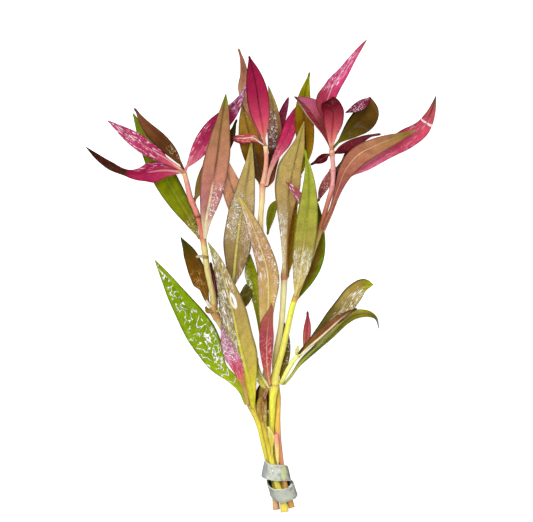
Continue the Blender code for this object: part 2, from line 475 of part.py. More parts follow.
def leaf_mesh(shape):
    """The blade as a thin solid: a raised line along the midrib, knife edges at the margins."""
    chord = np.linalg.norm(np.diff(np.array(shape["midrib"], float), axis=0), axis=1).sum()
    count = RINGS_AT_LEAST + round(chord / LENGTH_PER_RING)
    u = np.linspace(0, 1, count)
    centres = smooth_curve(shape["midrib"], count)
    right, up = directions(centres)
    left_half, right_half = half_widths(shape, u)
    thick = np.interp(u, [0, PETIOLE_SHARE, TIP_FROM, 1],
                      [PETIOLE_THICKNESS, BLADE_THICKNESS, BLADE_THICKNESS, TIP_THICKNESS])
    if shape["width"] < NARROW_LEAF_WIDTH:
        section = [(-1, 0), (0, 1), (1, 0), (0, -1)]
    else:
        layer = HALFWAY_LAYER
        section = [(-1, 0), (-0.5, layer), (0, 1), (0.5, layer), (1, 0), (0.5, -layer), (0, -1),
                   (-0.5, -layer)]
    rings = []
    for k in range(count):
        ring = []
        for across, layer in section:
            half = left_half[k] if across < 0 else right_half[k]
            rise = shape["fold"] * half * abs(across) ** FOLD_POWER + layer * thick[k] / 2
            ring.append(centres[k] + right[k] * across * half + up[k] * rise)
        rings.append(ring)
    return skin(rings)


def make_leaves():
    for name, shape in LEAVES.items():
        add_piece(name, leaf_mesh(shape), shape["tone"], shape["midrib"][0])


def fold_top_leaf():
    """Joins the folded-over tip to TopOliveLeaf as one solid."""
    flap = add_piece("FoldedTip", leaf_mesh(FOLDED_TIP), FOLDED_TIP["tone"],
                     FOLDED_TIP["midrib"][0])
    flap.hide_render = True
    flap.display_type = "WIRE"
    join = bpy.data.objects["TopOliveLeaf"].modifiers.new("Join the folded tip", "BOOLEAN")
    join.operation = "UNION"
    join.object = flap


def make_stems():
    """Each stem as an eight-sided tube, thicker at its nodes."""
    turns = np.arange(STEM_SIDES) * math.tau / STEM_SIDES
    for name, table in STEMS.items():
        table = np.array(table, float)
        centres = table[:, :3]
        right, up = directions(centres)
        rings = [
            [centres[k] + radius * (math.cos(a) * right[k] + math.sin(a) * up[k]) for a in turns]
            for k, radius in enumerate(table[:, 3])
        ]
        add_piece(name, skin(rings), "stem", centres[0])


def squared(value):
    """A sine or cosine pushed outwards, which turns a circle into a rounded box."""
    return math.copysign(abs(value) ** (2 / STRIP_SQUARENESS), value)


def make_strip():
    """The soft strip wound round the stems a turn and a half, flat where it lies on the surface."""
    angles, *turns = np.array(STRIP_TURNS[::-1], float).T
    axis = np.array([*STRIP_AXIS, 0])
    side = np.array([-STRIP_AXIS[1], STRIP_AXIS[0], 0])
    start = np.array([*STRIP_START, 0])
    middle = STRIP_HEIGHT / 2
    steps = round((angles[-1] - angles[0]) / STRIP_STEP_DEG)
    rings = []
    for degrees in np.linspace(angles[0], angles[-1], steps + 1):
        place, half, flare, width = (np.interp(degrees, angles, turn) for turn in turns)
        across = squared(math.cos(math.radians(degrees)))
        rise = squared(math.sin(math.radians(degrees)))
        ring = []
        for depth, shift in ((0, -0.5), (0, 0.5), (1, 0.5), (1, -0.5)):
            grown = shift * flare - depth * STRIP_THICKNESS
            along = axis * (place + shift * width) + side * (half + grown) * across
            height = middle + (middle * STRIP_PRESSED + grown) * rise
            height = max(height, depth * STRIP_THICKNESS)
            ring.append(start + along + np.array([0, 0, height]))
        rings.append(ring)
    add_piece("TieStrip", skin(rings), "strip", (*STRIP_START, 0))


def main():
    for old in list(bpy.data.objects):
        bpy.data.objects.remove(old)
    bunch = bpy.data.objects.new("Bunch", None)
    bpy.context.scene.collection.objects.link(bunch)
    make_stems()
    make_leaves()
    fold_top_leaf()
    make_strip()


main()
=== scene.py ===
"""The looks of a tied bunch of Alternanthera reineckii cuttings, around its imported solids.

Every leaf, stem and the strip is built again here as a fine mesh on the same tables as the solids,
with its own procedural material. The tables are in millimetres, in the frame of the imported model:
+Y from the cut ends to the leaf tips, +Z up, and the floor at z = 0.
"""

import math
import zlib
from typing import NamedTuple

import bpy
import numpy as np
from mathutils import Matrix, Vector


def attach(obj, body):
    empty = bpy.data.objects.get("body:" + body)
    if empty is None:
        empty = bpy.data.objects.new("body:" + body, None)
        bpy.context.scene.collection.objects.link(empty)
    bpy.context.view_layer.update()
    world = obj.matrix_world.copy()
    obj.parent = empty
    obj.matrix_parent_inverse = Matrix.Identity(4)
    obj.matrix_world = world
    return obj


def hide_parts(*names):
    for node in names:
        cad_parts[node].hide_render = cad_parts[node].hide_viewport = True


MM = 0.001
FINE_STEPS = 800
EASED_PARTS = 16

# Leaf blades: sizes in mm, and shares of the length or the half width.
BLADE_THICKNESS = 0.4
PETIOLE_THICKNESS = 1.1
TIP_THICKNESS = 0.25
PETIOLE_SHARE = 0.16
TIP_FROM = 0.9
PETIOLE_HALF_WIDTH = 0.7
PETIOLE_REACH = 0.5
BLUNT_HALF_WIDTH = 0.65
TIP_ROUNDING = 0.985
TIP_HALF_WIDTH = 0.2
LANCEOLATE_POWER = 2.2
FOLD_POWER = 1.3
MARGIN_POWER = 4
BLADE_STEP = 0.9
FEWEST_RINGS = 12
ACROSS = (0, 0.06, 0.13, 0.22, 0.33, 0.45, 0.58, 0.7, 0.81, 0.9, 0.965, 1)
ROOT_RINGS = 4
ROOT_REACH = 5.0
BLADE_UV_MIDDLE = 0.25
BLADE_UV_HALF = 0.24
UNDER_UV = 0.5

# The relief of a blade, which is full where its half width is RELIEF_HALF_WIDTH or more.
RELIEF_HALF_WIDTH = 3
VEIN_SPACING = 4.6
VEIN_LEAN = 1.1
VEIN_RELIEF = 0.1
RIB_RELIEF = 0.35
RIB_ABOVE = 0.3
RIB_HALF_WIDTH = 0.45
RIPPLE = 0.32
RIPPLE_LENGTH = 9.0
RIPPLE_PACES = (0.85, 1.15)
RIPPLE_POWER = 2.5
OVERTONE = 0.5
OVERTONE_PACE = 1.9

# Stems.
STEM_STEP = 0.8
STEM_SIDES = 20
FEWEST_STEM_RINGS = 8
NODE_SWELLING = 0.28
NODE_LENGTH = 1.3
GROOVES = 4
GROOVE_DEPTH = 0.05
STEM_BUMPS = 0.04
BUMP_PACE = 0.55
USUAL_RADIUS = 1.5

# The UV map of stems and strip: the tube's length, and beside it the two ends.
TUBE_UV = 0.9
END_UV = 0.95
STEM_END_UV = 0.04
STEM_END_UVS = (0.25, 0.75)
STRIP_END_UV = 0.02
STRIP_END_UVS = (0.92, 0.96)

# The strip. Its waves are each an amount, a pace by the degree and a start.
STRIP_THICKNESS = 1.0
STRIP_HEIGHT = 10.2
STRIP_SQUARENESS = 2.6
STRIP_PRESSED = 1.05
STRIP_START = (7.24, -98.72)
STRIP_AXIS = (0.177, -0.984)
STRIP_STEP_DEG = 3
STRIP_ACROSS = (-0.5, -0.49, -0.45, -0.35, -0.2, 0, 0.2, 0.35, 0.45, 0.49, 0.5)
STRIP_ROUNDING = 0.3
ROUNDED_FROM = 0.45
ROUNDED_REACH = 0.05
EDGE_LIFT = 0.3
STRIP_DENT = 0.12
STRIP_DENTS = [(1, 0.061, 0), (0.6, 0.137, 1)]
STRIP_WOBBLE = [(0.12, 0.09, 0), (0.08, 0.21, 2)]


class Leaf(NamedTuple):
    """One leaf's shape. The midrib runs from base to tip, and peak is where the blade is widest.

    An outline, where there is one, holds (share of the length, left half width, right half width).
    A tip under 1 is blunter than a lanceolate leaf's.
    """

    midrib: list
    width: float = 5.0
    peak: float = 0.45
    fold: float = 0.2
    left: float = 1.0
    right: float = 1.0
    outline: list = None
    tip: float = 1.0
    tone: str = "green"


# Each stem's centre line from its cut end upwards, with the radius there: x, y, z, radius.
STEMS = {
    "StemLeft": [
        (7.2, -117, 4.1, 1.7), (6.5, -109.5, 3.3, 1.5), (6.1, -104.5, 3.1, 1.35),
        (2.7, -92, 4.4, 1.35), (0.4, -82, 5, 1.4), (-2.1, -72.5, 6.4, 1.5),
        (-4.4, -66.5, 7.4, 2), (-8, -54.5, 7.6, 1.7), (-12, -42, 7.8, 1.65),
        (-17, -30.5, 8.6, 1.65), (-21.5, -22.5, 9.6, 1.7), (-24, -17.5, 10.2, 1.9),
        (-24.25, -12, 10.8, 1.6), (-27, 1.5, 12, 1.5), (-28.2, 9.5, 12.8, 1.55),
        (-29.4, 18, 13.6, 1.5), (-30.5, 24, 14, 1.4), (-32, 29.5, 14.5, 1.5),
        (-34.5, 36, 15.2, 1.3), (-35.75, 39, 15.5, 1.4), (-37.25, 45.5, 16.2, 1.2),
        (-38.75, 51.5, 17, 1.1),
    ],
    "StemCentre": [
        (11.4, -118.2, 5.7, 2), (10.6, -113, 5.8, 1.8), (7.7, -104.8, 6.3, 1.65),
        (4.9, -92.5, 7, 1.5), (3.4, -85.5, 7.5, 1.5), (1.6, -78, 7.6, 1.5),
        (0.25, -69.5, 6.8, 1.5), (-0.5, -62, 6.6, 1.5), (0.5, -55.5, 6.6, 1.5),
        (2, -47, 7.6, 1.5), (2, -37, 8.4, 1.5), (1.5, -27, 9.2, 1.5), (1, -7, 10.6, 1.5),
        (0.25, 13, 12, 1.4), (-0.75, 28, 13.5, 1.4), (0, 38, 14.6, 1.4),
        (0.25, 44.5, 15.1, 1.5), (1.75, 53, 16.2, 1.25), (2.1, 59.5, 17.4, 1.15),
        (1.75, 65, 18.4, 1.1),
    ],
    "StemInner": [
        (14.9, -116, 4.6, 1.6), (11.4, -104.2, 6, 1.4), (9.3, -92, 5.6, 1.4),
        (8.5, -85, 5.6, 1.4), (7.9, -77, 5.4, 1.4), (7.9, -67, 4.8, 1.35), (8, -60, 4, 1.35),
        (7, -53, 3.2, 1.3), (6.4, -45.5, 4.5, 1.35), (7, -38.5, 6, 1.4), (8.5, -31, 7, 1.4),
        (9.75, -23, 8, 1.4), (10.6, -12, 9, 1.4), (11.1, -1.5, 10.2, 1.5),
        (11.75, 10.5, 11.4, 1.2), (12.5, 28, 12.8, 1.2), (15.5, 44, 14.4, 1.15),
        (18.8, 50.5, 15.4, 1.05),
    ],
    "StemRight": [
        (10.3, -113, 2.3, 1.4), (9.3, -104.5, 2.8, 1.5), (6, -93, 2.7, 1.5),
        (5.4, -84.5, 3.3, 1.5), (4.75, -77, 4.4, 1.6), (4.9, -69.5, 6.4, 1.7),
        (5.25, -62, 7.4, 1.9), (5.75, -56, 8, 2.4), (7.25, -47, 9.6, 1.9),
        (8.75, -42, 10.8, 1.7), (11.35, -32, 12.6, 1.6), (13.65, -22, 14, 1.4),
        (15, -16, 15, 1.5), (16.25, -12, 15.4, 1.3), (20.25, -2, 16.6, 1.2),
        (24, 8, 17.6, 1.2), (27.5, 18, 18.6, 1.25), (28.75, 22, 19, 1.4),
        (30.4, 28, 19.7, 1.2), (33.25, 38, 20.8, 1.2), (34.75, 43, 21.4, 1.25),
        (35.5, 53, 22.4, 1.15), (34.75, 63, 23.8, 1.1),
    ],
    "SideShoot": [
        (9.3, -54.2, 8.4, 0.9), (10.2, -52.3, 8.6, 1.1), (12.9, -47, 8.8, 1.2),
        (16, -42, 9.1, 1.2), (18, -39.8, 9.4, 1.1),
    ],
    "BrokenStemPiece": [
        (6.8, -79.2, 9, 1.4), (7.4, -85, 8.9, 1.3), (7.8, -91, 8.7, 0.9), (8, -93.6, 8.5, 0.6),
    ],
}

LEAVES = {
    "LeftBrownLeaf": Leaf(
        [(-40, 55, 18), (-43.5, 61.5, 17), (-49.5, 68.5, 15), (-56.75, 75.25, 13), (-64, 84, 11)],
        width=10, peak=0.42, right=0.43, tip=0.92, tone="brown"),
    "LeftPinkLeaf": Leaf(
        [(-40.6, 53.4, 19.6), (-48.5, 59, 20), (-58.5, 65, 19), (-67.5, 71, 17),
         (-77.25, 77.75, 14)],
        outline=[(0, 0.8, 0.8), (0.1, 1.5, 0.7), (0.2, 2.9, 0.7), (0.31, 3.8, 2.5),
                 (0.44, 4.2, 3.2), (0.55, 4.1, 4), (0.7, 3.3, 3.2), (0.85, 1.8, 1.8),
                 (1, 0.2, 0.2)],
        tone="pink"),
    "LeftCurledLeaf": Leaf(
        [(-40.5, 52, 17), (-48.5, 52.75, 16.5), (-56, 52, 15), (-62.5, 51.25, 13.5),
         (-69, 52.25, 12.5), (-76, 55.25, 12), (-82.5, 59.75, 12.5), (-88, 64.5, 13.5)],
        outline=[(0, 0.8, 0.8), (0.157, 3.8, 4.4), (0.255, 6, 5), (0.32, 5, 4.6), (0.38, 4, 3.2),
                 (0.49, 2.7, 1.5), (0.56, 1.8, 1.4), (0.7, 2.2, 2.2), (0.86, 1.5, 1.5),
                 (1, 0.2, 0.2)],
        tone="maroon"),
    "LeftMagentaLeaf": Leaf(
        [(-37.75, 54, 18.4), (-34.5, 59.5, 18.2), (-29.5, 68, 17), (-23.5, 75.5, 16),
         (-16.5, 82, 15.5), (-12, 87.5, 15.3), (-7.5, 95.5, 15.5)],
        width=10.5, peak=0.42, left=0.75, right=1.2, tone="pink"),
    "LeftGreenLeaf": Leaf(
        [(-31.5, 19, 11.4), (-36, 28.5, 9.5), (-42.5, 39.5, 7), (-48, 49, 5.2), (-54.5, 62, 3),
         (-60, 73, 1.2), (-64.75, 81.5, 0.4)],
        width=13, peak=0.42, right=0.8, tip=0.75, tone="green"),
    "LeftOliveBackLeaf": Leaf(
        [(-33.75, 37.5, 13.2), (-31.5, 45.5, 12), (-27.5, 54, 9.5), (-22, 63, 8), (-16.5, 70, 7),
         (-12.5, 78.5, 7)],
        width=11, left=0.5, right=1.1, tone="dark_green"),
    "LeftRosyLeaf": Leaf(
        [(-28.5, 19, 15.8), (-27.75, 28.5, 17), (-26, 38, 18), (-24.25, 48, 18.8),
         (-22.25, 60.5, 19.4), (-20.75, 73, 19.8), (-19.25, 83, 20), (-18, 91, 20)],
        outline=[(0, 0.7, 0.7), (0.1, 2.2, 2.2), (0.2, 4.1, 4.1), (0.3, 5.6, 5.6),
                 (0.4, 6.5, 6.4), (0.5, 6.7, 6.6), (0.61, 5.8, 6.3), (0.71, 4.4, 5.4),
                 (0.81, 2.7, 4.2), (0.89, 1.8, 2.9), (0.95, 1, 1.6), (1, 0.2, 0.2)],
        tone="rosy"),
    "CentreRosyBackLeaf": Leaf(
        [(-2, 12, 10), (-7, 24, 9), (-12, 36.5, 9.5), (-15.5, 45.5, 10.5), (-18.5, 55.5, 11),
         (-20.5, 65, 11.5)],
        width=11.5, tone="rosy"),
    "LeftTornLeaf": Leaf(
        [(-26.5, -15, 8.2), (-28.5, -9, 7.5), (-30.5, -2, 6.5), (-33, 5, 6), (-36, 12, 5.8),
         (-40.75, 19.5, 6)],
        outline=[(0, 0.6, 0.6), (0.12, 1.5, 1.4), (0.25, 2, 3), (0.3, 4.6, 3.4), (0.5, 5, 3.8),
                 (0.75, 4, 2.8), (1, 0.2, 0.2)],
        tone="brown"),
    "LeftNarrowMaroonLeaf": Leaf(
        [(-22.6, -14, 9), (-23.3, -8, 9), (-24.3, -0.5, 9), (-25.75, 7, 9.5)],
        width=3.2, tone="maroon"),
    "LeftBroadOliveLeaf": Leaf(
        [(-22, -17.5, 12), (-18, -11, 12), (-14.5, -2, 12.2), (-13.5, 7, 12.5), (-12.3, 18, 12.8),
         (-10.8, 29, 13.5), (-8.3, 43, 14.5), (-6.3, 55.5, 15.5), (-5.25, 68.5, 17)],
        outline=[(0, 0.7, 0.7), (0.1, 0.8, 0.8), (0.19, 2, 1.8), (0.26, 4, 4.8),
                 (0.36, 6.4, 7.1), (0.42, 7.2, 7.5), (0.6, 6.5, 6.5), (0.8, 3.5, 3.5),
                 (0.9, 1.6, 1.6), (1, 0.2, 0.2)],
        tone="olive"),
    "LowerLongOliveLeaf": Leaf(
        [(-4.5, -66, 10.8), (-6, -57, 12.5), (-8.25, -46, 14.2), (-11.25, -34.5, 15.4),
         (-13.75, -22, 16.2), (-16.6, -10.5, 16.6), (-19.75, 0.5, 16.6), (-23.25, 10, 16.8),
         (-27, 17, 17.4)],
        outline=[(0, 0.9, 0.9), (0.05, 1.2, 2), (0.15, 1.5, 3.9), (0.215, 1.4, 5.7),
                 (0.27, 1, 6.9), (0.31, 1.4, 7.9), (0.365, 2.4, 8), (0.435, 4.7, 7.4),
                 (0.52, 7, 7.2), (0.575, 6.5, 7.1), (0.66, 5.4, 5.9), (0.725, 4.5, 4.6),
                 (0.8, 3.7, 3.5), (0.9, 2.3, 1.9), (1, 0.2, 0.2)],
        tone="olive"),
    "LowerGreenLeaf": Leaf(
        [(-8.2, -63.8, 6), (-10, -57.8, 5), (-14.5, -52, 3.8), (-21.2, -46, 2.2),
         (-27, -35, 0.9), (-34.6, -21.8, 0.4), (-42.8, -9, 0.4), (-50.3, 3, 0.9),
         (-53.75, 8, 1.4)],
        outline=[(0, 0.9, 0.9), (0.08, 1.7, 1.7), (0.17, 2.4, 2.4), (0.25, 3.2, 3.2),
                 (0.32, 5.4, 5.4), (0.42, 7.2, 7.2), (0.51, 7.8, 7.8), (0.6, 7.2, 6.8),
                 (0.77, 5, 4.2), (0.93, 2, 1.5), (1, 0.2, 0.2)],
        fold=0.15, tone="green"),
    "LowerPinkLeaf": Leaf(
        [(-7, -64.5, 9.6), (-8.75, -56, 10.6), (-12, -47, 11.2), (-16.5, -35.5, 12),
         (-20.5, -24, 12.8)],
        outline=[(0, 0.8, 0.8), (0.2, 1, 2), (0.32, 1.8, 3), (0.43, 2.5, 3.4), (0.6, 4.1, 3.6),
                 (0.715, 3.8, 3.2), (0.85, 2.5, 2.4), (1, 0.2, 0.2)],
        tone="pink"),
    "CentreCrimsonLeaf": Leaf(
        [(1.15, 67, 20.6), (0.25, 74.5, 21.6), (-1.25, 83, 22.2), (-2.5, 92, 22.6),
         (-4.25, 101, 23), (-6.5, 110, 23.4)],
        width=11, peak=0.5, tone="crimson"),
    "CentreTwistedLeaf": Leaf(
        [(-0.5, 68, 17), (-4, 77, 15), (-8, 87, 12.5), (-9.75, 94, 11.5), (-9, 101, 13),
         (-9.75, 107, 14), (-11.75, 113.75, 15)],
        width=4.6, peak=0.55, tone="rosy"),
    "CentreOliveBackLeaf": Leaf(
        [(-1, 46, 13), (-2, 52, 12.8), (-4, 62, 12.2), (-6.5, 71.5, 11.6), (-8.5, 80, 10.8),
         (-10, 87.5, 9.6)],
        width=10.5, left=1.15, tone="brown"),
    "CentreSmallPinkLeaf": Leaf(
        [(-0.8, 66.5, 18.8), (-4.5, 69, 18.6), (-9.5, 68.75, 18.2), (-17.5, 69.2, 17.4)],
        width=4.2, left=1.5, tone="pink"),
    "CentreSpeckledLeaf": Leaf(
        [(2.6, 45, 12.6), (3.5, 54, 12.8), (5.5, 63, 12.8), (6.5, 73, 13.4), (5.75, 84, 14.4),
         (3.25, 95, 15.4)],
        outline=[(0, 0.7, 0.7), (0.05, 0.7, 3.4), (0.2, 0.8, 3.9), (0.29, 1, 4), (0.36, 2.6, 4),
                 (0.56, 4, 3.6), (0.63, 3.9, 3.1), (0.76, 3, 2.2), (0.89, 1.6, 1.2),
                 (1, 0.2, 0.2)],
        tone="brown"),
    "CentrePurpleTipLeaf": Leaf(
        [(2, 46, 11), (4.5, 58, 10), (7.25, 69, 9.6), (9.75, 79, 9.6), (13.25, 89.5, 10)],
        width=4.6, tip=0.55, tone="maroon"),
    "CentreMagentaLeaf": Leaf(
        [(2.5, 45.5, 16.6), (3.75, 51.5, 17), (6.75, 59, 17), (11.25, 67, 17),
         (14.75, 76, 16.4), (19, 86.5, 15.6)],
        outline=[(0, 0.7, 0.7), (0.13, 0.95, 0.95), (0.33, 1.55, 1.55), (0.52, 3.2, 3.3),
                 (0.75, 3.5, 3.5), (0.9, 2, 2), (1, 0.2, 0.2)],
        tone="pink"),
    "HiddenDarkLeaf": Leaf(
        [(-19.5, -19, 8), (-16.5, -18.5, 7.6), (-11.3, -14.5, 7.4), (-8, -9.3, 7.6),
         (-7.8, -3.9, 8)],
        width=6.5, peak=0.65, tone="dark_green"),
    "NodeGreenLeaf": Leaf(
        [(2.6, -53, 4.4), (1.6, -44.5, 4.6), (0, -32, 5.2), (-1.75, -19.5, 5.6), (-3.75, -8, 6),
         (-5.5, 2, 6.6), (-6, 11, 7)],
        outline=[(0, 0.7, 0.7), (0.3, 0.9, 2), (0.5, 1.3, 3.4), (0.62, 1.8, 3.9), (0.7, 2.3, 4),
                 (0.78, 3, 3.6), (0.85, 3.5, 3), (0.92, 2.5, 2), (1, 0.2, 0.2)],
        tone="green"),
    "NodeTanLeaf": Leaf(
        [(3.25, -54.5, 10.2), (2.25, -44.5, 11.6), (2, -32, 12.8), (2.75, -19.5, 13.8),
         (3.25, -8, 14.8), (2.5, 3, 15.8), (-0.5, 13.5, 16.8), (-5, 25.5, 18), (-8.5, 33.5, 18.6),
         (-11.75, 39.75, 19)],
        outline=[(0, 0.7, 0.7), (0.2, 1.8, 1.6), (0.3, 3.4, 2.2), (0.42, 5.2, 3.4),
                 (0.53, 5.5, 5.8), (0.66, 4.5, 5.3), (0.77, 3.6, 4.4), (0.89, 2.3, 2.6),
                 (1, 0.2, 0.2)],
        tone="rosy"),
    "NodeCrimsonLeaf": Leaf(
        [(3.9, -54.5, 11.8), (2.7, -46, 14.4), (2.35, -37, 16), (2.7, -28, 17.2),
         (4.75, -13.5, 18.8)],
        outline=[(0, 0.7, 0.7), (0.17, 1.9, 1.5), (0.34, 2.9, 2.7), (0.46, 3.7, 3.3),
                 (0.61, 4, 3.4), (0.77, 4, 2.3), (0.92, 1.1, 1.5), (1, 0.2, 0.2)],
        tone="crimson"),
    "NodeFoldedLeaf": Leaf(
        [(2.4, -57.5, 9.2), (0, -53, 9.6), (-2, -47.5, 9.8), (-2.5, -40.5, 10)],
        width=3, tone="dark_green"),
    "NodeDarkLeaf": Leaf(
        [(9.4, -53, 5), (10.25, -44.5, 3.6), (10.5, -34.5, 2.8), (11, -23, 2.6)],
        width=7.6, peak=0.55, fold=0.08, tone="dark_green"),
    "InnerOliveLeaf": Leaf(
        [(11.5, 0.5, 13), (11.75, 9, 14.4), (12.25, 20, 16), (13, 32, 17.4), (13.5, 43, 18.6),
         (15.5, 53, 19.8), (17.75, 63, 21.2), (21, 77.25, 22.8)],
        outline=[(0, 0.75, 0.75), (0.12, 1.75, 1), (0.26, 3.25, 1.25), (0.41, 5.5, 2.5),
                 (0.57, 7.5, 5.7), (0.7, 8, 4), (0.8, 4.7, 3.7), (0.87, 2.3, 2.7),
                 (0.94, 1.3, 1.3), (1, 0.2, 0.2)],
        tone="olive"),
    "InnerDarkLeaf": Leaf(
        [(12.8, -0.5, 8), (14, 9, 8.4), (14.75, 19, 8.8), (16, 30.5, 9.2), (18.5, 40.5, 9.6)],
        width=5, tone="brown"),
    "InnerTallLeaf": Leaf(
        [(20.4, 53, 16), (21.75, 62, 17.4), (21.5, 70.5, 18.6), (20.9, 79, 19.6), (21, 88, 20.4),
         (23.75, 101.75, 21.6)],
        width=9.6, tone="green"),
    "InnerSmallLeaf": Leaf(
        [(12, 38.5, 12), (6, 35, 11), (4.25, 29.5, 10), (2.75, 20.5, 9)],
        width=4.4, tone="dark_green"),
    "InnerPinkTipLeaf": Leaf(
        [(27.2, 24, 20.2), (23.5, 32.5, 21), (18.5, 39.5, 21.8), (12, 47.5, 22.2)],
        width=4.6, peak=0.55, tone="pink"),
    "RightGreenLeaf": Leaf(
        [(16.5, -10, 17.6), (18.75, 0.5, 19), (20.5, 13, 20.8), (22, 25.5, 22.6),
         (23.25, 39, 24), (23.25, 50.5, 24.6), (21.4, 63, 25.2)],
        width=12.3, peak=0.42, left=0.88, right=0.96, tone="olive"),
    "RightDarkBackLeaf": Leaf(
        [(17.75, -11, 13), (22, -3, 12), (26, 7, 10.5), (28.5, 16.5, 10), (29.5, 26.5, 10),
         (28, 36.5, 10.4)],
        outline=[(0, 0.7, 0.7), (0.1, 1.6, 1.9), (0.2, 3, 3.2), (0.33, 4.2, 4.3),
                 (0.46, 4.5, 4.4), (0.6, 4.1, 3.3), (0.72, 3.3, 1.9), (0.8, 2.7, 1),
                 (0.9, 1.5, 0.8), (1, 0.2, 0.2)],
        tone="brown"),
    "RightSpeckledLeaf": Leaf(
        [(34.2, 53, 19.8), (32, 46.5, 18), (29.75, 42, 17.4), (28, 37, 17)],
        width=4.6, tone="maroon"),
    "RightDarkNarrowLeaf": Leaf(
        [(36.6, 44.5, 20), (37.7, 52, 18.8), (40.5, 58, 18), (44, 63.5, 17.6)],
        outline=[(0, 0.8, 0.8), (0.2, 1.6, 1.6), (0.38, 2.2, 2.2), (0.5, 1.2, 2.4),
                 (0.65, 0.5, 2.2), (0.85, 1.2, 1.4), (1, 0.2, 0.2)],
        tone="dark_green"),
    "RightTanLeaf": Leaf(
        [(30.2, 24, 20.8), (34.5, 33.5, 22.4), (37.75, 43, 23.2), (41.5, 52.5, 23.4),
         (47.5, 60, 23), (56.5, 65, 21.6), (67, 69.25, 19), (77.5, 73, 15)],
        outline=[(0, 0.8, 0.8), (0.15, 1, 1.2), (0.3, 1.7, 2.4), (0.4, 3.2, 4.2),
                 (0.5, 4.4, 5.6), (0.62, 4.3, 5.6), (0.76, 3.1, 4.2), (0.9, 1.2, 1.9),
                 (1, 0.2, 0.2)],
        tone="rosy"),
    "RightLongPinkLeaf": Leaf(
        [(30.75, 22.5, 17.4), (34.9, 32, 17.4), (38.4, 41, 17.2), (43, 49.5, 16.4),
         (52, 55, 14.6), (63, 62, 11.4), (73, 68, 8), (80, 74, 5), (84.5, 81.5, 2.4),
         (87.25, 90.25, 0.4)],
        outline=[(0, 0.8, 0.8), (0.116, 1, 0.7), (0.218, 1.2, 0.7), (0.32, 2.2, 0.9),
                 (0.433, 4.2, 2.5), (0.575, 5.6, 3.3), (0.703, 6.3, 4.2), (0.8, 4, 4.4),
                 (0.9, 2.2, 2.4), (1, 0.2, 0.2)],
        tone="pink"),
    "TopRedLeaf": Leaf(
        [(34.5, 65, 26.4), (34.75, 70, 27.6), (35.25, 76, 29), (35.25, 82, 29.8),
         (34, 86, 29.2), (33, 87.6, 28.2)],
        outline=[(0, 1, 1), (0.23, 2.7, 2.7), (0.48, 4.5, 5), (0.73, 5.2, 5.6), (0.9, 5.2, 4.4),
                 (1, 3.6, 2.8)],
        tone="crimson"),
    "TopPinkLeaf": Leaf(
        [(33.6, 67, 24.8), (33.2, 76, 25.4), (32, 84, 26), (34.5, 93, 26.6), (40, 102, 27),
         (45.5, 110, 27.6), (52.2, 117.8, 28.2)],
        outline=[(0, 0.8, 0.8), (0.1, 1, 1.2), (0.2, 1.6, 2.2), (0.3, 5, 3.5), (0.38, 6, 3.7),
                 (0.465, 4.1, 4.1), (0.55, 3.5, 4), (0.65, 2, 3.6), (0.82, 1, 2.3),
                 (0.93, 0.7, 1.2), (1, 0.2, 0.2)],
        tone="pink"),
    "TopMauveLeaf": Leaf(
        [(33.2, 66.5, 22.8), (29.5, 75, 23.6), (25.5, 81, 24), (21.5, 85.5, 23.8),
         (16, 89.5, 23.4)],
        outline=[(0, 0.7, 0.7), (0.12, 1.2, 1), (0.32, 2.6, 2.2), (0.5, 3.2, 4.6),
                 (0.6, 3.2, 6.2), (0.7, 2.8, 5.8), (0.78, 2.3, 4.2), (0.88, 1.3, 2),
                 (1, 0.2, 0.2)],
        tone="maroon"),
    "TopOliveLeaf": Leaf(
        [(36.5, 65, 23), (40, 69, 22), (45, 74.5, 21.6), (50.5, 80.5, 22), (54, 89.25, 23.4)],
        width=12.5, peak=0.65, left=0.75, right=1.25, tone="olive"),
    "TopMaroonRightLeaf": Leaf(
        [(36.6, 61.5, 22.2), (41.5, 63.9, 19.5), (48, 67.3, 16), (54, 70, 13.5),
         (59.5, 71, 11.5)],
        width=5.2, peak=0.3, tone="maroon"),
    "TopMaroonLeftLeaf": Leaf(
        [(33, 60.5, 21.4), (30, 58.5, 19), (26, 56.5, 16), (24.2, 55.5, 14.6)],
        width=4.4, peak=0.3, tone="maroon"),
    "ShootOliveLeaf": Leaf(
        [(19.8, -37.2, 9.8), (25, -31.6, 9.6), (30, -26.4, 9.4), (35, -21.4, 9.2),
         (40.25, -16.25, 9), (46, -8.75, 9), (50.5, -4.9, 8.4), (55.7, -4.25, 7)],
        outline=[(0, 0.8, 0.8), (0.16, 1.3, 1.3), (0.3, 2.5, 2.5), (0.44, 4, 4), (0.58, 5, 5),
                 (0.77, 4.8, 4.8), (0.9, 3.6, 3), (0.96, 2.2, 1.8), (1, 0.2, 0.2)],
        tone="olive"),
    "ShootRedLeaf": Leaf(
        [(20.9, -37, 8), (22.2, -31, 7), (22.8, -24.5, 6.2), (22.8, -17.5, 6)],
        width=4, tone="crimson"),
    "ShootGreenLeaf": Leaf(
        [(11.2, -54, 6.2), (14.2, -50.5, 6.4), (19, -43.75, 6.6), (26.5, -36.5, 6.8),
         (34.5, -29.25, 6.2), (42, -22, 4.8), (46, -19.5, 4), (50, -18.75, 3),
         (54, -19.15, 1.8), (57, -21, 0.9), (58.65, -26.5, 0.3)],
        outline=[(0, 0.7, 0.7), (0.15, 0.8, 0.8), (0.22, 1.4, 1.4), (0.5, 2, 2), (0.74, 2.4, 2.4),
                 (0.86, 1.6, 1.6), (0.91, 0.7, 0.7), (1, 0.2, 0.2)],
        tone="green"),
    "ShootFoldedLeaf": Leaf(
        [(19.3, -39.6, 11.2), (24, -35, 12.4), (29, -30.75, 13), (34, -26.25, 13),
         (39, -21.75, 12.6), (44, -18, 12), (47.5, -16.25, 11.4)],
        width=4.4, left=1.5, right=0.5, tone="brown"),
    "ShootBud": Leaf(
        [(17.2, -38.3, 10.6), (17.7, -36.5, 11), (18.2, -34.8, 11.4)], width=2, tone="stem"),
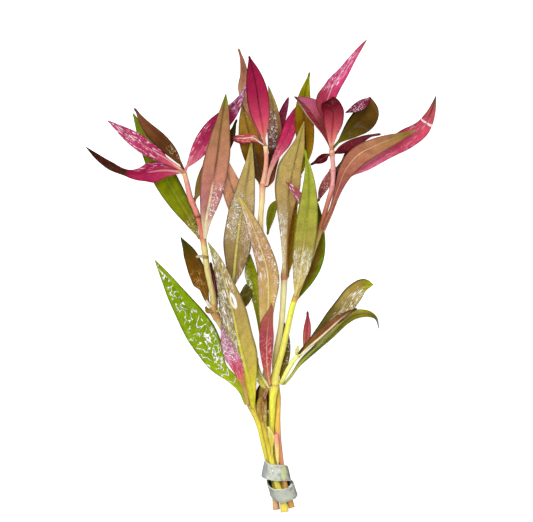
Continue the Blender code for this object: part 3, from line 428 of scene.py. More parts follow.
    "WitheredScrap": Leaf(
        [(0.5, -58, 9.4), (-0.7, -63, 9.2), (-1, -68, 9.2), (-0.2, -73, 9.4)],
        width=4, tone="brown"),
}

# The tip of TopOliveLeaf is folded back over its own blade.
FOLDED_TIP = Leaf(
    [(54, 88.9, 23.5), (52.5, 87.5, 24.7), (49, 85, 25), (41.5, 81.25, 25.4)], width=5,
    tone="maroon")

# The strip's turns: angle round the bundle, place along it, half width of the turn, how much wider
# the turn is at the edge towards the cut ends, and the strip's own width.
STRIP_TURNS = [
    (170, -3.7, 6.3, 3.4, 8.2), (90, 0, 6.3, 0.6, 8), (0, 1.2, 6.3, 0.8, 8),
    (-20, 2.2, 6.6, 0, 9.4), (-45, 3.2, 7, 0, 9.4), (-90, 4, 6.3, 0, 9),
    (-135, 5.2, 5.6, 0, 8.2), (-180, 6.4, 5.3, -0.4, 7.6), (-270, 12, 6.4, -3, 6.8),
    (-330, 11, 7.6, 0.6, 6.4), (-350, 10.1, 8.1, 1.2, 6.2), (-385, 8, 8.2, 0.6, 6),
]


# Colours are as seen, in 0 to 255. The first four are the colours of painted highlights.
GLINT_WHITE = (250, 248, 245)
GLINT_CREAM = (240, 220, 175)
GLINT_LILAC = (235, 200, 225)
GLINT_BLUSH = (245, 190, 205)
UNDERSIDE = (165, 80, 95)
NODE_RING = (175, 95, 60)
PITH = (240, 235, 190)
CLEAR = (0, 0, 0, 0)


class Look(NamedTuple):
    """How one blade looks.

    Stops run from base to tip, and right holds those of the right half where it differs. The rib's
    stops have an alpha. An edge is (colour, amount, where it starts across). A glint is a painted
    highlight: (kind, (from, to, left, right), amount, colour), with shares along the blade and
    places across it.
    """

    stops: list
    right: list = None
    rib: list = ((0, CLEAR), (1, CLEAR))
    rib_width: float = 0.7
    veins: float = 0.15
    vein_colour: tuple = (205, 195, 140)
    edge: tuple = None
    left_edge: tuple = None
    right_edge: tuple = None
    glints: list = ()
    wet: float = 0.35
    bump: float = 0.3


LOOKS = {
    "LeftBrownLeaf": Look(
        [(0, (105, 62, 16)), (0.3, (86, 48, 14)), (0.5, (92, 50, 20)), (0.7, (112, 66, 36)),
         (0.9, (126, 74, 52)), (1, (60, 50, 40))],
        vein_colour=(140, 95, 68), edge=((50, 28, 8), 0.6, 0.8),
        glints=[("specks", (0.1, 0.3, -0.5, 0.5), 0.6, GLINT_CREAM)]),
    "LeftPinkLeaf": Look(
        [(0, (225, 150, 110)), (0.1, (200, 88, 100)), (0.3, (165, 38, 80)), (0.8, (168, 46, 92)),
         (1, (165, 62, 92))],
        rib=[(0, (240, 190, 165, 0.8)), (0.5, (230, 150, 170, 0.5)), (1, CLEAR)], rib_width=0.5,
        vein_colour=(215, 120, 150), veins=0.25,
        glints=[("streaks", (0.3, 0.98, -1, 1), 0.9, (248, 222, 232))]),
    "LeftCurledLeaf": Look(
        [(0, (220, 144, 112)), (0.06, (178, 62, 84)), (0.25, (158, 22, 70)), (0.5, (150, 18, 66)),
         (0.54, (70, 26, 6)), (0.9, (60, 22, 6)), (1, (20, 14, 12))],
        rib=[(0, (240, 180, 180, 0.7)), (0.3, (220, 115, 145, 0.8)), (0.36, CLEAR), (1, CLEAR)],
        veins=0.25, vein_colour=(200, 70, 115),
        glints=[("streaks", (0.15, 0.45, 0.3, 1), 0.6, GLINT_LILAC)]),
    "LeftMagentaLeaf": Look(
        [(0, (225, 125, 125)), (0.12, (190, 68, 100)), (0.3, (165, 32, 78)), (0.6, (150, 26, 70)),
         (0.72, (140, 30, 74)), (1, (150, 55, 105))],
        rib=[(0, (235, 150, 155, 0.7)), (0.3, CLEAR), (1, CLEAR)], veins=0.2,
        vein_colour=(200, 85, 130),
        glints=[("streaks", (0.05, 0.45, -1, -0.1), 0.85, GLINT_BLUSH),
                ("streaks", (0.1, 0.3, 0.4, 1), 0.7, GLINT_BLUSH),
                ("streaks", (0.74, 1, -1, 0.9), 1.0, (240, 220, 242)),
                ("film", (0.72, 1, -1, 0.8), 0.3, (225, 190, 225))]),
    "LeftGreenLeaf": Look(
        [(0, (130, 108, 14)), (0.12, (122, 116, 8)), (0.3, (118, 126, 2)), (0.5, (134, 146, 2)),
         (0.7, (116, 130, 6)), (1, (106, 122, 16))],
        rib=[(0, (165, 165, 50, 0.4)), (0.5, (150, 165, 30, 0.6)), (1, (140, 155, 40, 0.4))],
        # The near-black right edge is painted shade cast by the stem beside it.
        rib_width=0.9, right_edge=((40, 42, 3), 0.7, 0.5), vein_colour=(135, 150, 20),
        glints=[("specks", (0.02, 0.14, -1, 1), 0.8, GLINT_CREAM)]),
    "LeftOliveBackLeaf": Look(
        [(0, (150, 122, 62)), (0.35, (130, 104, 36)), (0.55, (62, 52, 8)), (0.75, (70, 58, 6)),
         (1, (74, 60, 8))],
        vein_colour=(110, 100, 30)),
    "LeftRosyLeaf": Look(
        [(0, (236, 218, 178)), (0.1, (210, 184, 150)), (0.18, (172, 118, 106)),
         (0.3, (176, 110, 106)), (0.45, (180, 120, 98)), (0.65, (168, 116, 84)),
         (0.88, (146, 108, 62)), (0.95, (122, 126, 34)), (1, (95, 125, 20))],
        rib=[(0, (240, 225, 185, 1)), (0.36, (232, 196, 155, 0.9)), (0.42, (140, 90, 65, 0.3)),
             (0.5, (92, 60, 38, 0.75)), (0.9, (90, 72, 30, 0.6)), (1, CLEAR)],
        rib_width=0.8, veins=0.3, vein_colour=(138, 88, 62),
        edge=((95, 62, 38), 0.4, 0.82), wet=0.2,
        glints=[("specks", (0.08, 0.37, 0.12, 0.95), 0.95, GLINT_WHITE),
                ("specks", (0.05, 0.12, -1, 0.1), 0.6, GLINT_CREAM)]),
    "CentreRosyBackLeaf": Look(
        [(0, (230, 188, 148)), (0.5, (238, 176, 132)), (1, (248, 182, 145))],
        rib=[(0, (150, 100, 75, 0.5)), (1, (140, 95, 70, 0.5))],
        vein_colour=(190, 125, 92), veins=0.3),
    "LeftTornLeaf": Look(
        [(0, (172, 130, 56)), (0.12, (128, 88, 14)), (0.35, (114, 72, 4)), (0.65, (98, 66, 3)),
         (0.85, (74, 64, 6)), (1, (45, 60, 28))],
        vein_colour=(88, 54, 6), rib=[(0, (165, 120, 40, 0.6)), (1, CLEAR)],
        right_edge=((36, 30, 4), 0.75, 0.55), bump=0.45,
        glints=[("specks", (0.25, 0.5, -0.9, 0.4), 0.4, (235, 185, 110))]),
    "LeftNarrowMaroonLeaf": Look(
        [(0, (118, 34, 38)), (1, (105, 28, 30))], right=[(0, (90, 22, 25)), (1, (85, 20, 25))],
        rib=[(0, (225, 120, 140, 0.8)), (0.5, (225, 105, 130, 0.7)), (1, CLEAR)], rib_width=0.45),
    "LeftBroadOliveLeaf": Look(
        [(0, (152, 130, 72)), (0.2, (136, 110, 62)), (0.4, (146, 122, 74)), (0.5, (162, 138, 88)),
         (0.7, (174, 149, 94)), (0.93, (178, 156, 86)), (1, (205, 188, 86))],
        rib=[(0, (208, 204, 100, 1)), (0.5, (212, 200, 96, 0.95)), (0.66, (180, 160, 85, 0.5)),
             (0.8, (112, 92, 42, 0.7)), (1, (205, 185, 70, 0.7))],
        rib_width=0.85, veins=0.25, vein_colour=(112, 90, 48), edge=((96, 76, 34), 0.4, 0.82),
        glints=[("specks", (0.44, 0.68, -0.95, -0.05), 1.0, GLINT_WHITE),
                ("film", (0.42, 0.66, -0.95, -0.1), 0.3, (225, 218, 208)),
                ("streaks", (0.05, 0.5, 0.45, 1), 0.6, (240, 220, 215)),
                ("specks", (0.4, 0.66, 0.1, 1), 0.7, (238, 220, 205))]),
    "LowerLongOliveLeaf": Look(
        [(0, (214, 206, 60)), (0.14, (204, 196, 56)), (0.25, (166, 150, 66)), (0.6, (132, 112, 60)),
         (0.9, (140, 124, 60)), (1, (142, 152, 52))],
        right=[(0, (216, 208, 60)), (0.14, (210, 196, 60)), (0.25, (190, 170, 76)),
               (0.6, (164, 140, 80)), (0.9, (154, 132, 72)), (1, (148, 150, 55))],
        rib=[(0, (222, 218, 56, 0.9)), (0.4, (222, 212, 66, 1)), (0.7, (212, 192, 96, 0.8)),
             (1, (190, 182, 96, 0.5))],
        rib_width=0.9, veins=0.25, vein_colour=(128, 102, 46), edge=((108, 88, 38), 0.4, 0.85),
        glints=[("specks", (0.22, 0.98, -1, -0.08), 0.6, GLINT_WHITE),
                ("streaks", (0.26, 0.98, -1, -0.1), 0.8, GLINT_WHITE),
                ("streaks", (0.66, 0.95, 0, 0.8), 0.8, (250, 244, 228)),
                ("film", (0.3, 0.95, -0.95, -0.15), 0.12, (225, 220, 205)),
                ("drop", (0.6, 0.665, 0.1, 0.45), 1.0, GLINT_WHITE),
                ("specks", (0.7, 0.95, 0, 0.9), 0.5, (248, 238, 220))]),
    "LowerGreenLeaf": Look(
        [(0, (178, 190, 15)), (0.2, (158, 182, 6)), (0.35, (132, 160, 2)), (0.8, (122, 150, 2)),
         (1, (138, 158, 22))],
        rib=[(0, (190, 205, 60, 0.6)), (0.4, (165, 190, 30, 0.5)), (1, CLEAR)],
        vein_colour=(92, 128, 2), veins=0.4, right_edge=((48, 70, 6), 0.7, 0.8),
        glints=[("veined", (0.1, 0.5, -0.95, 0.85), 1.0, GLINT_WHITE),
                ("squiggles", (0.42, 0.97, -0.6, 0.2), 1.0, GLINT_WHITE),
                ("squiggles", (0.2, 0.62, -0.2, 0.75), 1.0, GLINT_WHITE)]),
    "LowerPinkLeaf": Look(
        [(0, (205, 182, 66)), (0.2, (206, 168, 74)), (0.3, (206, 136, 84)), (0.4, (206, 84, 90)),
         (0.5, (204, 72, 104)), (0.68, (182, 98, 128)), (1, (172, 118, 132))],
        rib=[(0, (235, 180, 130, 0.7)), (0.4, (225, 120, 140, 0.6)), (1, CLEAR)],
        vein_colour=(225, 120, 145), glints=[("specks", (0.5, 1, -1, 1), 1.0, (248, 236, 246)),
                                             ("film", (0.55, 1, -1, 1), 0.6, (240, 220, 230)),
                                             ("streaks", (0.35, 0.65, -1, 1), 0.5, GLINT_BLUSH)]),
    "CentreCrimsonLeaf": Look(
        [(0, (232, 150, 122)), (0.12, (214, 100, 102)), (0.3, (184, 58, 88)), (0.55, (152, 26, 64)),
         (0.8, (140, 18, 58)), (1, (100, 16, 40))],
        rib=[(0, CLEAR), (0.2, (140, 28, 50, 0.4)), (0.5, (84, 6, 30, 0.85)),
             (0.9, (80, 8, 30, 0.8)), (1, CLEAR)],
        rib_width=0.5, veins=0.15, vein_colour=(190, 60, 95), left_edge=((40, 12, 18), 0.8, 0.86),
        wet=0.2),
    "CentreTwistedLeaf": Look(
        [(0, (166, 96, 66)), (0.28, (172, 100, 76)), (0.45, (206, 156, 122)),
         (0.62, (184, 130, 100)), (0.78, (156, 100, 74)), (0.95, (166, 104, 84)),
         (1, (130, 90, 70))],
        vein_colour=(115, 70, 50), veins=0.35, edge=((100, 60, 38), 0.5, 0.6)),
    "CentreOliveBackLeaf": Look(
        [(0, (92, 62, 4)), (0.35, (104, 66, 4)), (0.5, (150, 110, 26)), (0.8, (176, 138, 46)),
         (1, (165, 128, 52))],
        right=[(0, (70, 42, 3)), (0.35, (90, 54, 3)), (0.5, (144, 102, 20)), (0.8, (168, 128, 38)),
               (1, (165, 125, 48))],
        rib=[(0, CLEAR), (0.5, (80, 55, 8, 0.8)), (1, (90, 65, 15, 0.6))],
        vein_colour=(100, 68, 10), glints=[("specks", (0.82, 1, -1, 1), 0.9, GLINT_CREAM)]),
    "CentreSmallPinkLeaf": Look(
        [(0, (178, 120, 95)), (0.2, (182, 84, 74)), (0.5, (178, 62, 70)), (0.75, (160, 45, 58)),
         (0.85, (80, 18, 20)), (1, (70, 15, 15))],
        rib=[(0, (250, 225, 225, 0.9)), (0.7, (245, 205, 210, 0.8)), (0.85, CLEAR), (1, CLEAR)],
        rib_width=0.4, left_edge=((88, 12, 28), 0.9, 0.35),
        glints=[("streaks", (0.2, 0.7, -1, 1), 0.55, GLINT_CREAM)]),
    "CentreSpeckledLeaf": Look(
        [(0, (160, 86, 44)), (0.3, (72, 22, 8)), (0.45, (112, 60, 44)), (0.6, (146, 94, 64)),
         (0.75, (164, 130, 76)), (0.9, (190, 166, 92)), (1, (180, 165, 85))],
        rib=[(0, CLEAR), (0.6, (76, 48, 26, 0.7)), (1, CLEAR)], vein_colour=(90, 60, 36),
        glints=[("specks", (0.4, 0.78, -0.9, 0.3), 1.0, GLINT_WHITE),
                ("film", (0.4, 0.7, -0.9, 0.3), 0.25, (222, 208, 205))]),
    "CentrePurpleTipLeaf": Look(
        [(0, (110, 32, 48)), (0.7, (138, 34, 66)), (1, (135, 40, 82))],
        left_edge=((52, 10, 26), 0.7, 0.3)),
    "CentreMagentaLeaf": Look(
        [(0, (234, 192, 152)), (0.15, (222, 166, 142)), (0.36, (206, 92, 108)),
         (0.5, (190, 45, 88)), (0.8, (172, 28, 76)), (1, (150, 45, 75))],
        rib=[(0, (240, 190, 165, 0.8)), (0.45, (220, 105, 125, 0.6)), (0.7, CLEAR), (1, CLEAR)],
        veins=0.15, vein_colour=(205, 75, 120), left_edge=((90, 16, 40), 0.6, 0.75),
        glints=[("specks", (0.28, 0.45, -1, 0.6), 0.6, GLINT_BLUSH)]),
    "HiddenDarkLeaf": Look([(0, (118, 100, 18)), (1, (76, 70, 12))],
                           glints=[("specks", (0.6, 1, -1, 1), 0.25, GLINT_CREAM)]),
    "NodeGreenLeaf": Look(
        [(0, (210, 195, 60)), (0.25, (172, 165, 28)), (0.5, (142, 152, 8)), (0.9, (154, 166, 6)),
         (1, (148, 150, 40))],
        vein_colour=(98, 112, 3), veins=0.35,
        glints=[("specks", (0.5, 1, -1, 1), 0.4, (228, 222, 96)),
                ("squiggles", (0.62, 0.85, -1, -0.2), 1.0, GLINT_WHITE)]),
    "NodeTanLeaf": Look(
        [(0, (232, 212, 104)), (0.15, (248, 230, 146)), (0.3, (236, 214, 142)),
         (0.42, (196, 164, 96)), (0.7, (174, 134, 90)), (0.92, (184, 154, 94)),
         (1, (212, 198, 80))],
        rib=[(0, (240, 225, 140, 0.9)), (0.5, (236, 214, 128, 1)), (0.85, (226, 195, 135, 0.9)),
             (1, (220, 206, 80, 0.6))],
        rib_width=0.75, veins=0.3, vein_colour=(142, 100, 58), edge=((112, 76, 40), 0.45, 0.84),
        glints=[("specks", (0.62, 0.95, -1, -0.15), 0.6, (248, 226, 220)),
                ("streaks", (0.48, 0.95, -0.9, -0.05), 0.9, (250, 234, 226)),
                ("specks", (0.35, 0.8, 0.55, 1), 0.95, GLINT_WHITE),
                ("specks", (0.6, 0.85, 0.1, 0.6), 0.5, GLINT_WHITE)]),
    "NodeCrimsonLeaf": Look(
        [(0, (195, 145, 70)), (0.15, (190, 104, 78)), (0.3, (178, 66, 70)), (0.55, (166, 66, 74)),
         (0.7, (166, 78, 76)), (0.9, (158, 92, 64)), (1, (150, 98, 64))],
        rib=[(0, (235, 175, 140, 0.8)), (0.5, (226, 150, 138, 0.9)), (1, (190, 110, 90, 0.4))],
        rib_width=0.55, vein_colour=(122, 36, 42), veins=0.3,
        glints=[("specks", (0.1, 0.6, -1, 1), 0.4, (232, 170, 160)),
                ("specks", (0.25, 0.55, 0, 0.9), 0.5, (248, 220, 212))]),
    "NodeFoldedLeaf": Look([(0, (210, 190, 60)), (0.25, (235, 225, 70)), (0.6, (212, 210, 90)),
                            (0.85, (140, 130, 34)), (1, (96, 86, 18))],
                           glints=[("specks", (0, 0.5, -1, 1), 0.5, GLINT_CREAM)]),
    "NodeDarkLeaf": Look(
        [(0, (175, 145, 25)), (0.3, (142, 118, 20)), (0.6, (120, 102, 16)), (1, (84, 72, 10))],
        vein_colour=(90, 74, 8),
        glints=[("specks", (0.3, 0.75, -0.6, 1), 1.0, GLINT_WHITE)]),
    "InnerOliveLeaf": Look(
        [(0, (236, 212, 138)), (0.12, (224, 202, 142)), (0.3, (180, 158, 114)),
         (0.45, (172, 146, 92)), (0.6, (176, 150, 88)), (0.75, (176, 154, 88)),
         (1, (168, 152, 72))],
        # The right half's darker lower part is painted shade on the half folded down.
        right=[(0, (162, 118, 60)), (0.3, (130, 96, 48)), (0.5, (168, 138, 80)),
               (0.75, (172, 146, 80)), (1, (166, 148, 68))],
        rib=[(0, (235, 195, 120, 0.9)), (0.4, (184, 148, 84, 0.6)), (0.55, (118, 84, 38, 0.65)),
             (0.85, (120, 90, 40, 0.6)), (1, CLEAR)],
        veins=0.28, vein_colour=(132, 100, 42), left_edge=((100, 78, 36), 0.5, 0.8),
        glints=[("specks", (0.05, 0.42, -1, -0.05), 1.0, (245, 243, 240)),
                ("streaks", (0.12, 0.38, -1, -0.1), 0.85, (245, 243, 240)),
                ("film", (0.08, 0.4, -1, -0.1), 0.35, (222, 216, 205)),
                ("specks", (0.6, 0.75, -0.5, 0.5), 0.4, (235, 212, 125))]),
    "InnerDarkLeaf": Look([(0, (178, 138, 40)), (0.5, (168, 124, 10)), (1, (185, 145, 28))],
                          vein_colour=(120, 84, 6)),
    "InnerTallLeaf": Look(
        [(0, (190, 176, 20)), (0.12, (160, 134, 12)), (0.3, (136, 96, 4)), (0.5, (118, 78, 2)),
         (0.62, (134, 108, 6)), (0.75, (140, 130, 4)), (1, (130, 134, 6))],
        rib=[(0, CLEAR), (0.3, (85, 56, 2, 0.8)), (0.7, (92, 70, 2, 0.5)), (1, CLEAR)],
        veins=0.2, vein_colour=(92, 62, 2)),
    "InnerSmallLeaf": Look([(0, (150, 124, 22)), (0.4, (122, 126, 8)), (1, (126, 126, 20))],
                           vein_colour=(88, 92, 6)),
    "InnerPinkTipLeaf": Look(
        [(0, (160, 80, 80)), (0.6, (172, 80, 94)), (1, (150, 62, 62))],
        rib=[(0, CLEAR), (0.4, (225, 160, 180, 0.7)), (1, CLEAR)], rib_width=0.4,
        glints=[("streaks", (0.3, 1, -1, 1), 0.9, (242, 218, 228))]),
    "RightGreenLeaf": Look(
        [(0, (232, 208, 112)), (0.08, (196, 174, 94)), (0.25, (164, 146, 76)),
         (0.35, (158, 144, 66)), (0.5, (158, 154, 60)), (0.85, (154, 162, 52)),
         (1, (146, 170, 42))],
        rib=[(0, (236, 214, 136, 1)), (0.3, (222, 200, 118, 0.8)), (0.45, (176, 176, 60, 0.5)),
             (0.7, (120, 122, 26, 0.45)), (1, (140, 150, 40, 0.4))],
        rib_width=0.75, veins=0.25, vein_colour=(122, 120, 22), edge=((88, 90, 14), 0.5, 0.82),
        glints=[("specks", (0.08, 0.3, -0.95, 0.95), 0.7, (245, 240, 228)),
                ("streaks", (0.14, 0.32, -0.95, 0.95), 0.9, (248, 244, 232)),
                ("film", (0.1, 0.3, -0.9, 0.9), 0.25, (225, 215, 195))]),
    "RightDarkBackLeaf": Look(
        [(0, (115, 105, 8)), (0.3, (112, 86, 3)), (0.5, (114, 90, 3)), (0.7, (102, 98, 4)),
         (1, (66, 60, 5))],
        right_edge=((106, 148, 4), 0.95, 0.35), vein_colour=(84, 60, 3)),
    "RightSpeckledLeaf": Look(
        [(0, (164, 92, 88)), (0.5, (160, 78, 76)), (1, (122, 44, 46))],
        left_edge=((56, 14, 18), 0.7, 0.6),
        glints=[("specks", (0, 1, -1, 1), 0.7, (225, 175, 172))]),
    "RightDarkNarrowLeaf": Look([(0, (70, 36, 12)), (0.6, (48, 28, 8)), (1, (75, 50, 15))],
                                glints=[("specks", (0.3, 1, -1, 1), 0.3, GLINT_CREAM)]),
    "RightTanLeaf": Look(
        [(0, (158, 92, 70)), (0.3, (148, 78, 74)), (0.4, (160, 92, 74)), (0.5, (166, 103, 79)),
         (0.7, (170, 115, 81)), (0.86, (152, 113, 64)), (0.93, (128, 118, 38)),
         (1, (182, 152, 96))],
        rib=[(0, (205, 128, 98, 0.4)), (0.4, (218, 158, 110, 0.7)), (0.55, (232, 190, 142, 0.9)),
             (0.8, (215, 178, 115, 0.7)), (1, CLEAR)],
        rib_width=0.5, veins=0.3, vein_colour=(120, 70, 42), edge=((108, 56, 34), 0.5, 0.8)),
    "RightLongPinkLeaf": Look(
        [(0, (238, 196, 155)), (0.12, (228, 172, 142)), (0.22, (215, 125, 120)),
         (0.35, (246, 128, 150)), (0.48, (248, 120, 156)), (0.62, (204, 64, 98)),
         (0.8, (200, 70, 94)), (0.92, (172, 80, 78)), (0.97, (120, 85, 65)), (1, (80, 80, 70))],
        left_edge=((140, 44, 50), 0.6, 0.3),
        rib=[(0, CLEAR), (0.8, (215, 110, 130, 0.5)), (0.9, (110, 22, 34, 0.8)), (1, CLEAR)],
        veins=0.25, vein_colour=(228, 120, 150),
        glints=[("line", (0.835, 0.85, -1.2, 1.2), 0.8, (252, 232, 234)),
                ("streaks", (0.74, 0.84, -0.9, 0.4), 0.7, GLINT_BLUSH),
                ("streaks", (0.45, 0.75, 0.1, 1), 0.4, GLINT_BLUSH)]),
    "TopRedLeaf": Look(
        [(0, (238, 166, 142)), (0.15, (216, 116, 110)), (0.4, (176, 70, 80)), (0.65, (142, 40, 56)),
         (0.82, (96, 8, 24)), (1, (70, 5, 18))],
        rib=[(0, CLEAR), (0.35, (130, 30, 40, 0.6)), (0.9, (70, 4, 18, 0.8)), (1, CLEAR)],
        rib_width=0.5, veins=0.25, vein_colour=(200, 96, 96), edge=((92, 14, 28), 0.5, 0.8)),
    "TopPinkLeaf": Look(
        [(0, (190, 78, 78)), (0.2, (150, 52, 66)), (0.34, (160, 50, 70)), (0.42, (172, 42, 78)),
         (0.5, (188, 50, 100)), (0.8, (196, 60, 112)), (0.95, (180, 62, 88)), (1, (140, 75, 70))],
        rib=[(0, CLEAR), (0.5, (246, 205, 222, 0.7)), (0.75, (240, 180, 205, 0.5)), (1, CLEAR)],
        rib_width=0.4, veins=0.25, vein_colour=(232, 130, 170), left_edge=((128, 62, 58), 0.6, 0.5),
        glints=[("streaks", (0.45, 0.85, -0.9, 0.5), 0.9, (252, 232, 240)),
                ("film", (0.5, 0.9, -0.8, 0.8), 0.25, (244, 170, 205))]),
    "TopMauveLeaf": Look(
        [(0, (150, 60, 58)), (0.3, (122, 40, 42)), (0.55, (132, 38, 50)), (0.75, (120, 44, 56)),
         (0.9, (90, 50, 45)), (1, (60, 42, 36))],
        right=[(0, (150, 60, 58)), (0.3, (122, 38, 42)), (0.5, (144, 52, 68)),
               (0.7, (174, 78, 106)), (0.88, (164, 78, 106)), (1, (88, 42, 46))],
        left_edge=((250, 215, 200), 0.8, 0.8), rib_width=0.4,
        rib=[(0, CLEAR), (0.6, (205, 125, 125, 0.6)), (1, CLEAR)]),
    "TopOliveLeaf": Look(
        [(0, (128, 118, 14)), (0.25, (96, 78, 6)), (0.6, (72, 48, 2)), (0.9, (98, 66, 16)),
         (1, (118, 80, 40))],
        rib=[(0, (140, 128, 30, 0.6)), (0.5, (90, 70, 10, 0.5)), (1, CLEAR)],
        left_edge=((30, 20, 4), 0.85, 0.6), right_edge=((112, 78, 34), 0.6, 0.8),
        vein_colour=(100, 84, 14)),
    "FoldedTip": Look(
        [(0, (128, 32, 64)), (1, (112, 26, 54))], edge=((60, 12, 26), 0.6, 0.7),
        glints=[("specks", (0.1, 0.95, -1, 1), 0.6, (238, 200, 226))]),
    "TopMaroonRightLeaf": Look(
        [(0, (92, 14, 22)), (0.3, (146, 40, 52)), (0.6, (160, 58, 72)), (1, (140, 68, 74))],
        left_edge=((165, 92, 98), 0.6, 0.6), right_edge=((40, 6, 10), 0.8, 0.1)),
    "TopMaroonLeftLeaf": Look(
        [(0, (85, 8, 18)), (1, (72, 10, 14))], rib_width=0.25,
        rib=[(0, (180, 100, 100, 0.6)), (0.7, (170, 80, 85, 0.5)), (1, CLEAR)]),
    "ShootOliveLeaf": Look(
        [(0, (96, 70, 26)), (0.2, (84, 76, 36)), (0.4, (96, 86, 34)), (0.52, (124, 104, 42)),
         (0.65, (164, 142, 78)), (0.82, (164, 140, 64)), (0.9, (142, 122, 36)),
         (0.95, (160, 164, 20)), (1, (168, 182, 24))],
        right=[(0, (85, 55, 12)), (0.2, (60, 44, 8)), (0.45, (76, 54, 12)), (0.6, (148, 126, 62)),
               (0.82, (164, 142, 72)), (0.95, (160, 164, 20)), (1, (168, 182, 24))],
        rib=[(0, CLEAR), (0.45, (205, 196, 140, 0.7)), (0.85, (190, 172, 104, 0.4)), (1, CLEAR)],
        rib_width=0.5, left_edge=((64, 58, 8), 0.85, 0.65), vein_colour=(104, 84, 30), veins=0.3,
        glints=[("streaks", (0.46, 0.88, -0.3, 0.9), 0.95, (246, 244, 232)),
                ("specks", (0.6, 0.85, 0.1, 0.9), 0.7, (246, 244, 232))]),
    "ShootRedLeaf": Look(
        [(0, (215, 155, 98)), (0.3, (186, 92, 80)), (0.5, (188, 80, 86)), (0.85, (168, 62, 70)),
         (1, (105, 42, 45))],
        rib=[(0, CLEAR), (0.4, (135, 34, 48, 0.7)), (1, CLEAR)], rib_width=0.4,
        edge=((110, 36, 40), 0.5, 0.7)),
    "ShootGreenLeaf": Look(
        [(0, (218, 224, 92)), (0.15, (146, 158, 38)), (0.32, (92, 106, 16)),
         (0.48, (206, 204, 124)), (0.6, (230, 216, 112)), (0.8, (172, 158, 42)),
         (0.9, (105, 98, 12)), (0.93, (120, 115, 95)), (1, (140, 140, 130))],
        right=[(0, (225, 228, 92)), (0.15, (170, 184, 56)), (0.32, (84, 100, 14)),
               (0.48, (112, 124, 26)), (0.65, (128, 130, 34)), (0.8, (150, 140, 34)),
               (0.9, (105, 98, 12)), (0.93, (120, 115, 95)), (1, (140, 140, 130))],
        rib=[(0, (225, 225, 120, 0.7)), (0.6, (186, 180, 84, 0.6)), (0.85, CLEAR), (1, CLEAR)]),
    "ShootFoldedLeaf": Look(
        [(0, (150, 112, 50)), (0.2, (122, 80, 30)), (0.4, (126, 76, 40)), (0.7, (128, 78, 44)),
         (0.9, (84, 58, 12)), (1, (58, 48, 8))],
        right=[(0, (205, 195, 95)), (0.3, (128, 124, 32)), (0.8, (102, 96, 18)),
               (1, (74, 66, 10))],
        rib=[(0, (248, 236, 180, 1)), (0.6, (250, 214, 196, 1)), (0.85, (190, 120, 95, 0.7)),
             (1, CLEAR)],
        rib_width=0.75),
    "ShootBud": Look([(0, (215, 215, 95)), (1, (238, 228, 140))],
                     glints=[("specks", (0, 1, -1, 1), 0.5, (250, 250, 220))]),
    "WitheredScrap": Look(
        [(0, (178, 146, 48)), (1, (198, 158, 62))], vein_colour=(84, 56, 10), veins=0.7, bump=0.6,
        edge=((70, 44, 8), 0.6, 0.6),
        glints=[("streaks", (0, 1, -1, 1), 0.4, GLINT_CREAM)]),
}
